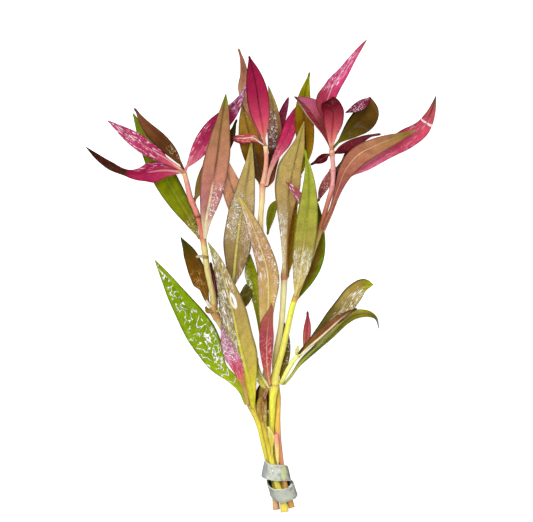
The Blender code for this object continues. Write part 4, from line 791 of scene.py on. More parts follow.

# Small dried pieces of leaf and stalk between the stems, which have no solid of their own.
# ShadedRemnant is a dried scrap low in the gap between the stems, and its near-black brown is
# painted shadow of that gap.
REMNANTS = {
    "ShadedRemnant": (Leaf(
        [(0.4, -52.5, 4.5), (0.4, -58, 4.3), (0.2, -64, 4.3), (0.6, -72.5, 4.4)], width=8.4,
        peak=0.45, fold=0.02, tone="brown"),
        Look([(0, (92, 62, 14)), (0.5, (60, 38, 12)), (1, (84, 56, 16))], veins=0.6,
             vein_colour=(24, 14, 4))),
    "CrinkledRemnant": (Leaf(
        [(3, -56.4, 8.6), (1.6, -59, 9), (1, -64, 9.2), (1.3, -70, 9.3), (2.1, -76.5, 9.3)],
        width=3.4, fold=0.35, tone="brown"),
        Look([(0, (186, 150, 72)), (0.3, (160, 112, 52)), (0.6, (196, 156, 84)),
              (1, (214, 190, 80))],
             veins=0.9, vein_colour=(74, 44, 10), edge=((66, 38, 10), 0.7, 0.4), bump=0.6,
             glints=[("streaks", (0, 1, -1, 1), 0.6, GLINT_CREAM)])),
    "ReddishRemnant": (Leaf(
        [(3.1, -54.8, 9.9), (2.2, -57.2, 10), (1.3, -60, 10), (0.9, -63, 9.9)], width=2.4,
        fold=0.3, tone="brown"),
        Look([(0, (214, 170, 120)), (0.5, (176, 110, 84)), (1, (130, 74, 40))], veins=0.8,
             vein_colour=(80, 40, 24), edge=((92, 50, 24), 0.6, 0.4),
             glints=[("streaks", (0, 1, -1, 1), 0.7, GLINT_CREAM)])),
    "GreenStub": (Leaf(
        [(3, -56.4, 9.2), (0.6, -55.2, 9.4), (-2.4, -52, 9.6)], width=1.9, tone="stem"),
        Look([(0, (236, 226, 110)), (0.5, (214, 226, 60)), (1, (196, 210, 96))],
             edge=((120, 128, 14), 0.6, 0.5))),
    "PaleStub": (Leaf(
        [(3.4, -55.6, 10.6), (0.9, -51.8, 10.8), (-2.2, -46.5, 11)], width=1.3, fold=0.2,
        tone="stem"),
        Look([(0, (240, 236, 160)), (0.5, (232, 238, 170)), (1, (176, 190, 70))],
             edge=((120, 128, 30), 0.5, 0.5))),
    "OliveRemnant": (Leaf(
        [(2.2, -67.5, 3.2), (2.7, -73, 2.7), (3.3, -80, 2.4)], width=2.6, fold=0.02, tone="brown"),
        Look([(0, (120, 96, 20)), (0.4, (232, 226, 90)), (1, (190, 176, 40))])),
    "YellowStub": (Leaf(
        [(3.3, -75.8, 9.4), (4.4, -80, 9.6), (4.8, -85, 9.5), (4.9, -90, 9.1)], width=2.9,
        peak=0.3, fold=0.25, tone="stem"),
        Look([(0, (246, 238, 130)), (0.5, (222, 206, 60)), (1, (240, 228, 90))],
             left_edge=((252, 246, 150), 0.8, 0.5), right_edge=((104, 90, 12), 0.7, 0.5),
             glints=[("streaks", (0, 1, -1, 1), 0.5, GLINT_CREAM)])),
    "ThinStub": (Leaf(
        [(-27.6, 9.3, 14.5), (-30, 9.9, 14.7), (-33, 9.6, 14.6)], width=0.9, tone="stem"),
        Look([(0, (150, 116, 52)), (0.5, (190, 172, 120)), (1, (205, 196, 160))])),
    "NodeStipule": (Leaf(
        [(-24.8, -17.8, 12.2), (-26.6, -17.6, 12.4), (-28.3, -15.2, 12.2)], width=2.6, fold=0.3,
        tone="brown"),
        Look([(0, (190, 150, 90)), (0.5, (150, 106, 46)), (1, (120, 96, 40))],
             edge=((70, 50, 14), 0.6, 0.4))),
    "PaleStipule": (Leaf(
        [(-25.4, -15.4, 12.4), (-26.8, -14.2, 12.6), (-28, -12, 12.4)], width=1.8, fold=0.3,
        tone="stem"),
        Look([(0, (222, 210, 170)), (1, (236, 232, 214))], edge=((150, 130, 90), 0.5, 0.6),
             glints=[("streaks", (0, 1, -1, 1), 0.8, GLINT_WHITE)])),
}

# Each stem's colours by their place along the bunch in mm, then its marks, each a colour, a place,
# a reach and an amount.
STEM_LOOKS = {
    "StemLeft": ([
        (-117, (212, 155, 118)), (-108, (209, 171, 102)), (-100, (201, 190, 70)),
        (-75, (226, 211, 75)), (-68, (212, 190, 80)), (-60, (203, 180, 103)),
        (-30, (203, 186, 124)), (-16, (194, 169, 103)), (-5, (205, 190, 126)),
        (14, (212, 197, 124)), (18, (203, 124, 98)), (27, (201, 111, 92)), (34, (214, 132, 120)),
        (46, (212, 143, 130)), (51, (218, 179, 122)),
    ], [((130, 62, 44), 29.5, 1.0, 0.85), ((122, 92, 34), 9.4, 0.9, 0.8),
        ((176, 92, 60), -19, 3.5, 0.45)]),
    "StemCentre": ([
        (-118, (231, 208, 93)), (-100, (239, 229, 87)), (-82, (200, 180, 64)),
        (-60, (171, 138, 54)), (-45, (215, 192, 128)), (10, (231, 211, 151)),
        (36, (229, 206, 146)), (43, (219, 176, 136)), (47, (215, 161, 132)),
        (60, (217, 147, 126)), (65, (231, 215, 161)),
    ], [((205, 122, 90), 45, 1.5, 0.5)]),
    "StemInner": ([
        (-116, (216, 162, 76)), (-104, (216, 162, 90)), (-94, (232, 152, 112)),
        (-80, (232, 158, 120)), (-76, (230, 186, 82)), (-58, (230, 184, 78)),
        (-50, (255, 242, 142)),
        (-5, (255, 250, 184)), (0, (236, 178, 130)), (4, (250, 226, 168)), (50, (240, 200, 150)),
    ], [((186, 92, 70), -1.5, 0.8, 0.65)]),
    "StemRight": ([
        (-113, (215, 196, 72)), (-104, (230, 222, 82)), (-58, (232, 228, 80)),
        (-53, (234, 222, 110)), (-35, (230, 222, 101)), (-14, (226, 226, 89)),
        (-10, (215, 186, 104)), (0, (217, 205, 129)), (20, (182, 154, 87)), (24, (180, 119, 76)),
        (38, (186, 114, 92)), (44, (216, 148, 146)), (60, (220, 158, 146)), (63, (226, 173, 136)),
    ], [((205, 152, 72), -12, 1.2, 0.8), ((185, 88, 70), 30, 4, 0.4)]),
    "SideShoot": ([(-54, (207, 207, 94)), (-47, (231, 229, 137)), (-40, (226, 231, 141))], []),
    "BrokenStemPiece": ([
        (-93.6, (234, 213, 114)), (-86, (232, 201, 124)), (-82, (236, 163, 131)),
        (-79, (236, 152, 129)),
    ], []),
}

STRIP_TONES = [(0.3, (150, 155, 144)), (0.5, (196, 200, 186)), (0.72, (222, 226, 212))]
STRIP_SCRATCH = (232, 235, 224)
STRIP_EDGE = (236, 240, 230)
# The inner face's near-black painted shade.
STRIP_INNER_SHADE = (42, 42, 38)

# Marks on the strip: colour, centre x and y, reach x and y in millimetres, amount.
# The first is a painted yellowish reflection, the second a painted highlight.
STRIP_MARKS_AND_GLINTS = [
    ((236, 242, 158), 11, -98.5, 1.5, 4.5, 0.75), ((250, 252, 240), 5.3, -97.4, 0.5, 0.5, 1),
    ((160, 166, 172), 1.2, -98, 1.8, 5, 0.6), ((240, 242, 214), 10.6, -94.2, 1, 0.7, 0.7),
    ((226, 232, 214), 11, -109.5, 5, 3.5, 0.6), ((168, 176, 170), 18, -107, 1.6, 4, 0.5),
]

# Each blade's patterns begin at a place of its own, somewhere within this many millimetres.
PATTERN_SPREAD = 997

# How far patterns shift the colours along a blade (a share) and along a stem (mm), and how far
# they shift the outlines of the strip's marks.
WANDER = 0.12
STEM_WANDER = 3.0
MARK_WANDER = 0.8

# Each pattern's tint or roughness: the least, and the amount above it.
BLADE_GRAIN = (0.55, 0.9)
BLADE_BLOTCHES = (0.62, 0.8)
BLADE_ROUGH = (0.45, 0.25)
STEM_FIBRES = (0.55, 1.0)
STEM_GRAIN = (0.9, 0.2)
STEM_ROUGH = (0.28, 0.2)
STRIP_ROUGH = (0.35, 0.3)

# The values between which a mask rises smoothly. The first fourteen shape the painted highlights.
WORMS = (0.06, 0.03)
DOTS = (0.44, 0.52)
PATCHES = (0.42, 0.5)
THIN_LINES = (0.034, 0.018)
GAPS = (0.42, 0.46)
STREAKS = (0.52, 0.6)
STREAK_GAPS = (0.4, 0.52)
GLINT_RING_OUTSIDE = (0.2, 0.3)
GLINT_RING_INSIDE = (0.7, 0.5)
GLINT_RING_BODY = (0.2, 0.4)
GLINT_RING_SIDE = (0.24, 0.3)
BRIGHT_LINE = (0.4, 0.415)
ON_VEIN = (0.09, 0.05)
SHEEN_RISE = (0.4, 0.7)
VEIN_CORE = (0.12, 0.0)
VEIN_FADE = (1.0, 0.3)
ON_RIB = (1.0, 0.5)
BESIDE_RIB = (0.9, 2.6)
AT_MARGIN = (0.8, 1.0)
PATCH_BREAKS = (0.3, 0.5)
AT_NODE = (0.75, 1.0)
STEM_LIT = (0.1, 0.62)
ON_CUT = (0.75, 0.35)
SCRATCHES = (0.56, 0.7)
IN_MARK = (1.5, 0.7)
WORN = (0.42, 0.49)
INNER_SHADE_RISE = (0.3, 0.9)

# How strongly a mask's colour shows.
RING_STRENGTH = 0.7
PATCH_LEAST = 0.6
NODE_STRENGTH = 0.45
PITH_STRENGTH = 0.7
SCRATCH_STRENGTH = 0.4
WORN_STRENGTH = 0.75
INNER_SHADE_STRENGTH = 0.85

# How much faster patterns change along x, y and z than they do by themselves.
SQUIGGLE_PACE = 0.75
STREAK_PACES = (0.2, 2.3)
FIBRE_PACES = (2.2, 0.16, 2.2)
STRIP_PACE = 8.0
SCRATCH_PACES = (0.5, 20.0)
LINE_SWAY = 0.08

# Other shares and depths that the materials use.
PATCH_CORE = 0.4
HALVES_SOFT = 0.04
UNDER_SHARE = 0.5
VEIN_HEIGHT = -0.5
GRAIN_HEIGHT = 0.55
WAVE_HEIGHT = 0.9
SHINE_HEIGHT = 0.4
FIBRE_HEIGHT = 0.8
STEM_GRAIN_HEIGHT = 0.3
STRIP_GRAIN_HEIGHT = 0.5
SCRATCH_HEIGHT = 0.7
SHINE_ROUGH = -0.15
WETNESS = 0.25
MARGIN_SHADE = 0.55
RIB_SHADE = 0.8
RIB_TAPER = 0.55
VEIN_STRENGTH = 0.55
ALONG_SOFT = 0.05
ACROSS_SOFT = 0.2
WATER_IOR = 1.33
STEM_FLANK_SHADE = 0.5
STEM_TOP_LIGHT = 1.06
STEM_BUMP = 0.25
STRIP_BUMP = 0.2

# Where a colour mix node has its two colours and its result.
MIX_COLOURS = slice(6, 8)
MIX_RESULT = 2

# The floor, the sky and the lights.
FLOOR_SIZE = 6.0
FLOOR_COLOUR = (235, 235, 235)
FLOOR_GLOW = 0.75
SKY_AT_HORIZON = 0.4
SKY_OVERHEAD = 1.0
# Each light's name, place in metres, size in metres and power in watts.
LIGHTS = [
    ("KeyLight", (-0.8, 0.7, 1.1), 0.6, 8.0),
    ("GlintLight", (-0.15, 0.3, 1.5), 0.3, 5.0),
]

# The camera: lens and sensor in mm, and the view's middle and width in mm.
LENS = 500.0
SENSOR = 36.0
VIEW_CENTRE = (2.25, 7.5, 12.0)
VIEW_WIDTH = 266.5
FARTHEST_SEEN = 100


def linear(colour):
    """A colour as seen, in 0 to 255, as the linear values that a material takes."""
    shares = [value / 255 for value in colour[:3]]
    return [v / 12.92 if v <= 0.04045 else ((v + 0.055) / 1.055) ** 2.4 for v in shares]


def seed_of(name):
    """The same random seed for a name in every run."""
    return zlib.crc32(name.encode())


class Value:
    """An output of a material's node. Arithmetic with it adds the nodes that work it out."""

    def __init__(self, shader, socket):
        self.shader = shader
        self.socket = socket

    def __add__(self, other):
        return self.shader.math("ADD", self, other)

    def __sub__(self, other):
        return self.shader.math("SUBTRACT", self, other)

    def __rsub__(self, other):
        return self.shader.math("SUBTRACT", other, self)

    def __mul__(self, other):
        return self.shader.math("MULTIPLY", self, other)

    def __truediv__(self, other):
        return self.shader.math("DIVIDE", self, other)

    def __abs__(self):
        return self.shader.math("ABSOLUTE", self)


class Shader:
    """One Principled material. Most calls add a node and give back its output as a Value."""

    def __init__(self, name):
        self.material = bpy.data.materials.new(name)
        self.material.use_nodes = True
        self.tree = self.material.node_tree
        self.surface = self.tree.nodes["Principled BSDF"]

    def feed(self, socket, value):
        """Links a Value to a socket, or sets the socket to a number or a colour."""
        if isinstance(value, Value):
            self.tree.links.new(value.socket, socket)
        elif socket.type == "RGBA":
            socket.default_value = (*linear(value), 1)
        else:
            socket.default_value = value

    def fill(self, node, **values):
        """Feeds a node's inputs by name, with underscores for spaces."""
        for name, value in values.items():
            self.feed(node.inputs[name.replace("_", " ")], value)
        return node

    def node(self, kind, *values, **settings):
        """A new node with these settings, whose first inputs are fed with the values."""
        node = self.tree.nodes.new(kind)
        for name, setting in settings.items():
            setattr(node, name, setting)
        for socket, value in zip(node.inputs, values):
            self.feed(socket, value)
        return node

    def math(self, operation, *values):
        return Value(self, self.node("ShaderNodeMath", *values, operation=operation).outputs[0])

    def smooth(self, value, start, end, low=0.0, high=1.0):
        """Rises smoothly from low to high as the value goes from start to end."""
        node = self.node("ShaderNodeMapRange", value, start, end, low, high,
                         interpolation_type="SMOOTHSTEP")
        return Value(self, node.outputs[0])

    def split(self, vector):
        """The three numbers of a vector."""
        return [Value(self, part) for part in self.node("ShaderNodeSeparateXYZ", vector).outputs]

    def attribute(self, name):
        """The three numbers of a mesh attribute."""
        node = self.node("ShaderNodeAttribute", attribute_name=name)
        return self.split(Value(self, node.outputs["Vector"]))

    def millimetres(self):
        """The place in the part's frame, in millimetres."""
        node = self.node("ShaderNodeTexCoord")
        return [axis / MM for axis in self.split(Value(self, node.outputs["Object"]))]

    def join(self, x, y, z=0.0):
        """A vector from three numbers."""
        return Value(self, self.node("ShaderNodeCombineXYZ", x, y, z).outputs[0])

    def noise(self, place, scale, detail=2.0, distortion=0.0):
        node = self.fill(self.node("ShaderNodeTexNoise"), Vector=place, Scale=scale,
                         Detail=detail, Distortion=distortion)
        return Value(self, node.outputs["Fac"])

    def ramp(self, value, stops):
        """A colour that runs through stops, each a share and a colour, some with an alpha."""
        node = self.node("ShaderNodeValToRGB", value)
        stops = [(at, (*linear(colour), *(colour[3:] or [1]))) for at, colour in stops]
        marks = node.color_ramp.elements
        marks[0].position, marks[0].color = stops[0]
        marks[1].position, marks[1].color = stops[-1]
        for at, colour in stops[1:-1]:
            marks.new(at).color = colour
        return Value(self, node.outputs["Color"]), Value(self, node.outputs["Alpha"])

    def mix(self, share, first, second):
        """The first colour, with a share of the second over it."""
        node = self.node("ShaderNodeMix", share, data_type="RGBA")
        for socket, colour in zip(node.inputs[MIX_COLOURS], (first, second)):
            self.feed(socket, colour)
        return Value(self, node.outputs[MIX_RESULT])

    def scale_colour(self, colour, factor):
        node = self.node("ShaderNodeVectorMath", colour, operation="SCALE")
        return Value(self, self.fill(node, Scale=factor).outputs[0])

    def bump(self, height, distance):
        node = self.fill(self.node("ShaderNodeBump"), Height=height, Distance=distance)
        self.fill(self.surface, Normal=Value(self, node.outputs[0]))


def smooth_curve(points, count):
    """Evenly spaced points along a smooth curve through the given points."""
    p = np.array(points, float)
    at = np.concatenate([[0], np.cumsum(np.linalg.norm(np.diff(p[:, :3], axis=0), axis=1))])
    slope = np.gradient(p, at, axis=0)
    fine = np.linspace(0, at[-1], FINE_STEPS)
    i = np.clip(np.searchsorted(at, fine, side="right") - 1, 0, len(at) - 2)
    span = (at[i + 1] - at[i])[:, None]
    s = (fine - at[i])[:, None] / span
    curve = (2 * s**3 - 3 * s**2 + 1) * p[i] + (3 * s**2 - 2 * s**3) * p[i + 1]
    curve += span * ((s**3 - 2 * s**2 + s) * slope[i] + (s**3 - s**2) * slope[i + 1])
    run = np.concatenate([[0], np.cumsum(np.linalg.norm(np.diff(curve[:, :3], axis=0), axis=1))])
    even = np.linspace(0, run[-1], count)
    return np.column_stack([np.interp(even, run, curve[:, k]) for k in range(p.shape[1])])


def length_of(points):
    return np.linalg.norm(np.diff(np.array(points, float)[:, :3], axis=0), axis=1).sum()


def directions(centres):
    """At each point of a path: the way to its right, and the way up from the path."""
    along = np.gradient(centres, axis=0)
    along /= np.linalg.norm(along, axis=1)[:, None]
    right = np.cross(along, [0, 0, 1])
    right /= np.linalg.norm(right, axis=1)[:, None]
    return right, np.cross(right, along)


def eased(x, at, values):
    """Values between the given ones, without corners."""
    fine = np.linspace(at[0], at[-1], FINE_STEPS)
    straight = np.interp(fine, at, values)
    reach = FINE_STEPS // EASED_PARTS
    padded = np.pad(straight, reach, mode="reflect", reflect_type="odd")
    soft = np.convolve(padded, np.hanning(2 * reach + 1) / reach, mode="valid")
    return np.interp(x, fine, soft)


def half_widths(shape, u):
    """The blade's half width on its left and right at each share u of the leaf's length."""
    if shape.outline:
        at, *sides = np.array(shape.outline).T
        return [np.maximum(eased(u, at, side), TIP_HALF_WIDTH) for side in sides]
    p = shape.peak
    rise = (u / p) ** (LANCEOLATE_POWER * p)
    fall = ((1 - u) / (1 - p)) ** (LANCEOLATE_POWER * (1 - p) * shape.tip)
    blade = shape.width / 2 * rise * fall
    least = np.interp(u, [0, PETIOLE_REACH, TIP_ROUNDING, 1],
                      [PETIOLE_HALF_WIDTH, PETIOLE_HALF_WIDTH, BLUNT_HALF_WIDTH, TIP_HALF_WIDTH])
    return [np.maximum(blade * side, least) for side in (shape.left, shape.right)]


def stem_lines():
    """Each stem's centre line in fine steps."""
    return {name: smooth_curve(table, FINE_STEPS)[:, :3] for name, table in STEMS.items()}


def nearest_stem(base, lines):
    """The stem whose centre line is nearest to a leaf's base, the distance, and the step there."""
    gaps = {name: np.linalg.norm(line - base, axis=1) for name, line in lines.items()}
    name = min(gaps, key=lambda stem: gaps[stem].min())
    return name, gaps[name].min(), gaps[name].argmin()


def mesh_piece(name, node, mesh, material):
    """A smooth mesh piece that stands for a CAD node, with its vertex attributes and UV map."""
    points, faces, attributes, uvs = mesh
    data = bpy.data.meshes.new(name)
    data.from_pydata((np.array(points) * MM).tolist(), [], faces)
    for label, values in attributes.items():
        layer = data.attributes.new(label, "FLOAT_VECTOR", "POINT")
        layer.data.foreach_set("vector", np.array(values, np.float32).ravel())
    layer = data.uv_layers.new(name="UVMap")
    layer.data.foreach_set("uv", np.array(uvs, np.float32).ravel())
    data.shade_smooth()
    data.materials.append(material)
    piece = bpy.data.objects.new(name, data)
    bpy.context.scene.collection.objects.link(piece)
    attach(piece, "root")
    if node:
        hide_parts(node)
    return piece


def rooted(shape, lines):
    """Centres along a leaf, shares of its length and half widths, from inside its stem on."""
    midrib = np.array(shape.midrib, float)
    length = length_of(midrib)
    count = max(FEWEST_RINGS, round(length / BLADE_STEP))
    centres = smooth_curve(midrib, count)
    u = np.linspace(0, 1, count)
    halves = half_widths(shape, u)
    stem, distance, step = nearest_stem(midrib[0], lines)
    if distance < ROOT_REACH:
        start = lines[stem][step]
        shares = np.arange(ROOT_RINGS) / ROOT_RINGS
        root = start + (centres[0] - start) * shares[:, None]
        pace = distance / ROOT_RINGS / length
        u = np.concatenate([pace * (np.arange(ROOT_RINGS) - ROOT_RINGS), u])
        centres = np.concatenate([root, centres])
        halves = [np.concatenate([np.full(ROOT_RINGS, half[0]), half]) for half in halves]
    return centres, u, halves, length


def relief(s, sideways, along, rng):
    """How high the ripples of a blade's margins and its side veins stand."""
    off = np.abs(s)
    phases = rng.uniform(0, math.tau, 4)
    pace = math.tau / (RIPPLE_LENGTH * rng.uniform(*RIPPLE_PACES))
    waves = np.sin(along * pace + np.where(s < 0, phases[0], phases[1]))
    waves += OVERTONE * np.sin(along * pace * OVERTONE_PACE + phases[2])
    lines = (along - VEIN_LEAN * np.abs(sideways)) / VEIN_SPACING
    veins = VEIN_RELIEF * np.sqrt(off * (1 - off)) * np.cos(math.tau * lines)
    return RIPPLE * off**RIPPLE_POWER * waves + veins


def blade_surface(shape, seed, lines):
    """The blade's grid: for each ring along it, each place across it, top and bottom points."""
    centres, u, halves, length = rooted(shape, lines)
    right, up = directions(centres)
    thick = np.interp(u, [0, PETIOLE_SHARE, TIP_FROM, 1],
                      [PETIOLE_THICKNESS, BLADE_THICKNESS, BLADE_THICKNESS, TIP_THICKNESS])
    across = np.array([-s for s in ACROSS[:0:-1]] + list(ACROSS))
    s, along = np.meshgrid(across, u * length)
    half = np.where(s < 0, halves[0][:, None], halves[1][:, None])
    sideways = s * half
    share = along / length
    wide = np.clip(half / RELIEF_HALF_WIDTH, 0, 1)
    middle = shape.fold * half * np.abs(s) ** FOLD_POWER
    middle += wide * relief(s, sideways, along, np.random.default_rng(seed))
    layer = thick[:, None] / 2 * (1 - np.abs(s) ** MARGIN_POWER)
    rib = np.exp(-(sideways / RIB_HALF_WIDTH) ** 2) * np.clip(1 - share, 0, 1) * wide
    base = centres[:, None] + right[:, None] * sideways[..., None]
    top = base + up[:, None] * (middle + layer + RIB_RELIEF * RIB_ABOVE * rib)[..., None]
    bottom = base + up[:, None] * (middle - layer - RIB_RELIEF * rib)[..., None]
    return top, bottom, share, s, along, sideways


def blade_mesh(shape, seed, lines):
    """The closed mesh of a blade: top and bottom sheets that share their margins."""
    top, bottom, share, s, along, sideways = blade_surface(shape, seed, lines)
    rows, columns = share.shape
    top_index = np.arange(rows * columns).reshape(rows, columns)
    bottom_index = top_index.copy()
    bottom_index[:, 1:-1] = rows * columns + np.arange(rows * (columns - 2)).reshape(rows, -1)
    points = np.concatenate([top.reshape(-1, 3), bottom[:, 1:-1].reshape(-1, 3)])

    def both(grid):
        return np.concatenate([grid.ravel(), grid[:, 1:-1].ravel()])

    under = np.zeros(len(points))
    under[rows * columns:] = 1
    offset = seed % PATTERN_SPREAD
    attributes = {
        "blade": np.column_stack([both(share), both(s), under]),
        "blade_mm": np.column_stack([both(along) + offset, both(sideways), np.zeros(len(points))]),
    }
    faces, uvs = [], []
    u_of = (along - along.min()) / (along.max() - along.min())
    v_of = BLADE_UV_MIDDLE + BLADE_UV_HALF * s
    for i in range(rows - 1):
        for j in range(columns - 1):
            corners = [(i, j), (i, j + 1), (i + 1, j + 1), (i + 1, j)]
            faces.append([int(top_index[c]) for c in corners])
            uvs += [(u_of[c], v_of[c]) for c in corners]
            faces.append([int(bottom_index[c]) for c in corners[::-1]])
            uvs += [(u_of[c], v_of[c] + UNDER_UV) for c in corners[::-1]]
    for i, order in ((0, -1), (rows - 1, 1)):
        for j in range(columns - 1):
            ring = [top_index[i, j], top_index[i, j + 1], bottom_index[i, j + 1],
                    bottom_index[i, j]][::order]
            spots = list(dict.fromkeys(int(spot) for spot in ring))
            faces.append(spots)
            uvs += [(u_of[i, j], v_of[i, j])] * len(spots)
    return points, faces, attributes, uvs


def specks(shader, x, y, inside, side):
    """Painted highlights: short winding marks and dots, in patches."""
    place = shader.join(x, y)
    worms = shader.smooth(abs(shader.noise(place, scale=0.6, distortion=0.6) - 0.5), *WORMS)
    dots = shader.smooth(shader.noise(place, scale=1.5, detail=1), *DOTS)
    patches = shader.smooth(shader.noise(place, scale=0.3, distortion=0.5), *PATCHES)
    return worms * dots * patches * inside


def squiggles(shader, x, y, inside, side):
    """Painted highlights: longer thin winding lines."""
    off_line = abs(shader.noise(shader.join(x * SQUIGGLE_PACE, y), scale=0.3, distortion=0.5) - 0.5)
    gaps = shader.smooth(shader.noise(shader.join(x, y), scale=0.3, detail=1), *GAPS)
    return shader.smooth(off_line, *THIN_LINES) * gaps * inside


def streaks(shader, x, y, inside, side):
    """Painted highlights: thin runs along the blade."""
    run = shader.join(x * STREAK_PACES[0], y * STREAK_PACES[1])
    lines = shader.smooth(shader.noise(run, scale=1.1, distortion=0.5), *STREAKS)
    gaps = shader.smooth(shader.noise(shader.join(x, y), scale=0.35), *STREAK_GAPS)
    return lines * gaps * inside


def drop(shader, x, y, inside, side):
    """A painted highlight: a ring round the edge of its zone, filled on the right."""
    ring = shader.smooth(inside, *GLINT_RING_OUTSIDE) * shader.smooth(inside, *GLINT_RING_INSIDE)
    body = shader.smooth(inside, *GLINT_RING_BODY) * shader.smooth(side, *GLINT_RING_SIDE)
    return shader.math("MAXIMUM", ring * RING_STRENGTH, body)


def line(shader, x, y, inside, side):
    """A painted highlight: a narrow line right across the blade, slightly wavy."""
    sway = shader.noise(shader.join(x, y), scale=0.6) * LINE_SWAY
    return shader.smooth(sway + inside, *BRIGHT_LINE)


def off_vein(shader, x, y, scale, sway):
    """Nought on each side vein, and a half midway between two. The veins sway a little."""
    lines = (x - abs(y) * VEIN_LEAN) / VEIN_SPACING
    bent = shader.noise(shader.join(x, y), scale) * sway + lines
    return shader.math("PINGPONG", bent, 0.5)


def veined(shader, x, y, inside, side):
    """Painted highlights in lines along the side veins."""
    near = shader.smooth(off_vein(shader, x, y, scale=0.4, sway=1.3), *ON_VEIN)
    gaps = shader.smooth(shader.noise(shader.join(x, y), scale=0.3), *GAPS)
    return near * gaps * inside


def film(shader, x, y, inside, side):
    """A soft uneven painted sheen."""
    return shader.smooth(shader.noise(shader.join(x, y), scale=0.5, detail=3), *SHEEN_RISE) * inside


PATTERNS = {
    pattern.__name__: pattern
    for pattern in (specks, squiggles, streaks, drop, line, veined, film)
}


def window(shader, share, side, zone):
    """A soft-edged mask of part of a blade: shares from and to along it, places across it."""
    start, end, left, right = zone
    mask = shader.smooth(share, start - ALONG_SOFT, start + ALONG_SOFT)
    for value, edge, soft in ((share, end, -ALONG_SOFT), (side, left, ACROSS_SOFT),
                              (side, right, -ACROSS_SOFT)):
        mask = mask * shader.smooth(value, edge - soft, edge + soft)
    return mask


def above(least, amount, pattern):
    """A pattern spread over an amount above the least."""
    return pattern * amount + least


def blade_colour(shader, look, share, side, vein, blotches):
    """The colour along a blade, on each half, with its side veins and its margins."""
    bent_share = share + (blotches - 0.5) * WANDER
    colour, _ = shader.ramp(bent_share, look.stops)
    if look.right:
        other, _ = shader.ramp(bent_share, look.right)
        colour = shader.mix(shader.smooth(side, -HALVES_SOFT, HALVES_SOFT), colour, other)
    colour = shader.mix(vein * look.veins, colour, look.vein_colour)
    reaches = (abs(side), side * -1, side)
    for edge, reach in zip((look.edge, look.left_edge, look.right_edge), reaches):
        if edge:
            edge_colour, amount, start = edge
            colour = shader.mix(shader.smooth(reach, start, 1.0, 0.0, amount), colour, edge_colour)
    return colour


def blade_material(name, look):
    """A wet leaf: colour along it, rib and veins, mottling, painted shade beside the rib and at the
    margins, and painted highlights.
    """
    shader = Shader(name)
    share, side, under = shader.attribute("blade")
    x, y, _ = shader.attribute("blade_mm")
    place = shader.join(x, y)
    blotches = shader.noise(place, scale=0.22, detail=3)
    grain = shader.noise(place, scale=1.6, detail=3)
    vein = shader.smooth(off_vein(shader, x, y, scale=0.3, sway=1.0), *VEIN_CORE, 0.0, VEIN_STRENGTH)
    vein = vein * shader.smooth(abs(side), *VEIN_FADE)
    colour = blade_colour(shader, look, share, side, vein, blotches)
    rib_colour, rib_alpha = shader.ramp(share, look.rib)
    off_rib = abs(y) / (share * (-RIB_TAPER * look.rib_width) + look.rib_width)
    colour = shader.mix(shader.smooth(off_rib, *ON_RIB) * rib_alpha, colour, rib_colour)
    # Painted shade: darker beside the rib and towards the margins.
    tint = above(*BLADE_GRAIN, grain) * shader.smooth(off_rib, *BESIDE_RIB, RIB_SHADE, 1.0)
    tint = tint * shader.smooth(abs(side), *AT_MARGIN, 1.0, MARGIN_SHADE)
    tint = tint * above(*BLADE_BLOTCHES, blotches)
    colour = shader.mix(under * UNDER_SHARE, shader.scale_colour(colour, tint), UNDERSIDE)
    rough = above(*BLADE_ROUGH, grain)
    height = vein * VEIN_HEIGHT + grain * GRAIN_HEIGHT
    height = height + shader.noise(place, scale=0.7) * WAVE_HEIGHT
    shine = None
    # Each glint paints a highlight into the colour, and leaves the surface smoother and raised
    # there.
    for kind, zone, strength, glint in look.glints:
        inside = window(shader, share, side, zone)
        mask = PATTERNS[kind](shader, x, y, inside, side) * strength * (1.0 - under)
        colour = shader.mix(mask, colour, glint)
        shine = shader.math("MAXIMUM", shine, mask) if shine else mask
    if shine:
        rough = shine * SHINE_ROUGH + rough
        height = shine * SHINE_HEIGHT + height
    shader.fill(shader.surface, Base_Color=colour, Roughness=rough, Coat_Weight=look.wet * WETNESS,
                Coat_Roughness=0.15, Coat_IOR=WATER_IOR, Specular_IOR_Level=0.05)
    shader.bump(height, look.bump * MM)
    return shader.material


def make_leaves():
    """Every leaf, the folded tip and the dried pieces, each with a material of its own."""
    lines = stem_lines()
    blades = [(name, f"{name}Blade", name, shape, LOOKS[name]) for name, shape in LEAVES.items()]
    blades.append(("FoldedTip", "TopOliveLeafFoldedTip", None, FOLDED_TIP, LOOKS["FoldedTip"]))
    blades += [(name, name, None, shape, look) for name, (shape, look) in REMNANTS.items()]
    for name, piece_name, node, shape, look in blades:
        mesh = blade_mesh(shape, seed_of(name), lines)
        piece = mesh_piece(piece_name, node, mesh, blade_material(f"{name}Surface", look))


def node_places():
    """Where leaves grow out of each stem, as places along its own run."""
    lines = stem_lines()
    places = {name: [] for name in STEMS}
    for shape in LEAVES.values():
        name, distance, step = nearest_stem(np.array(shape.midrib[0], float), lines)
        if distance < ROOT_REACH:
            places[name].append(step / (FINE_STEPS - 1) * length_of(lines[name]))
    return places


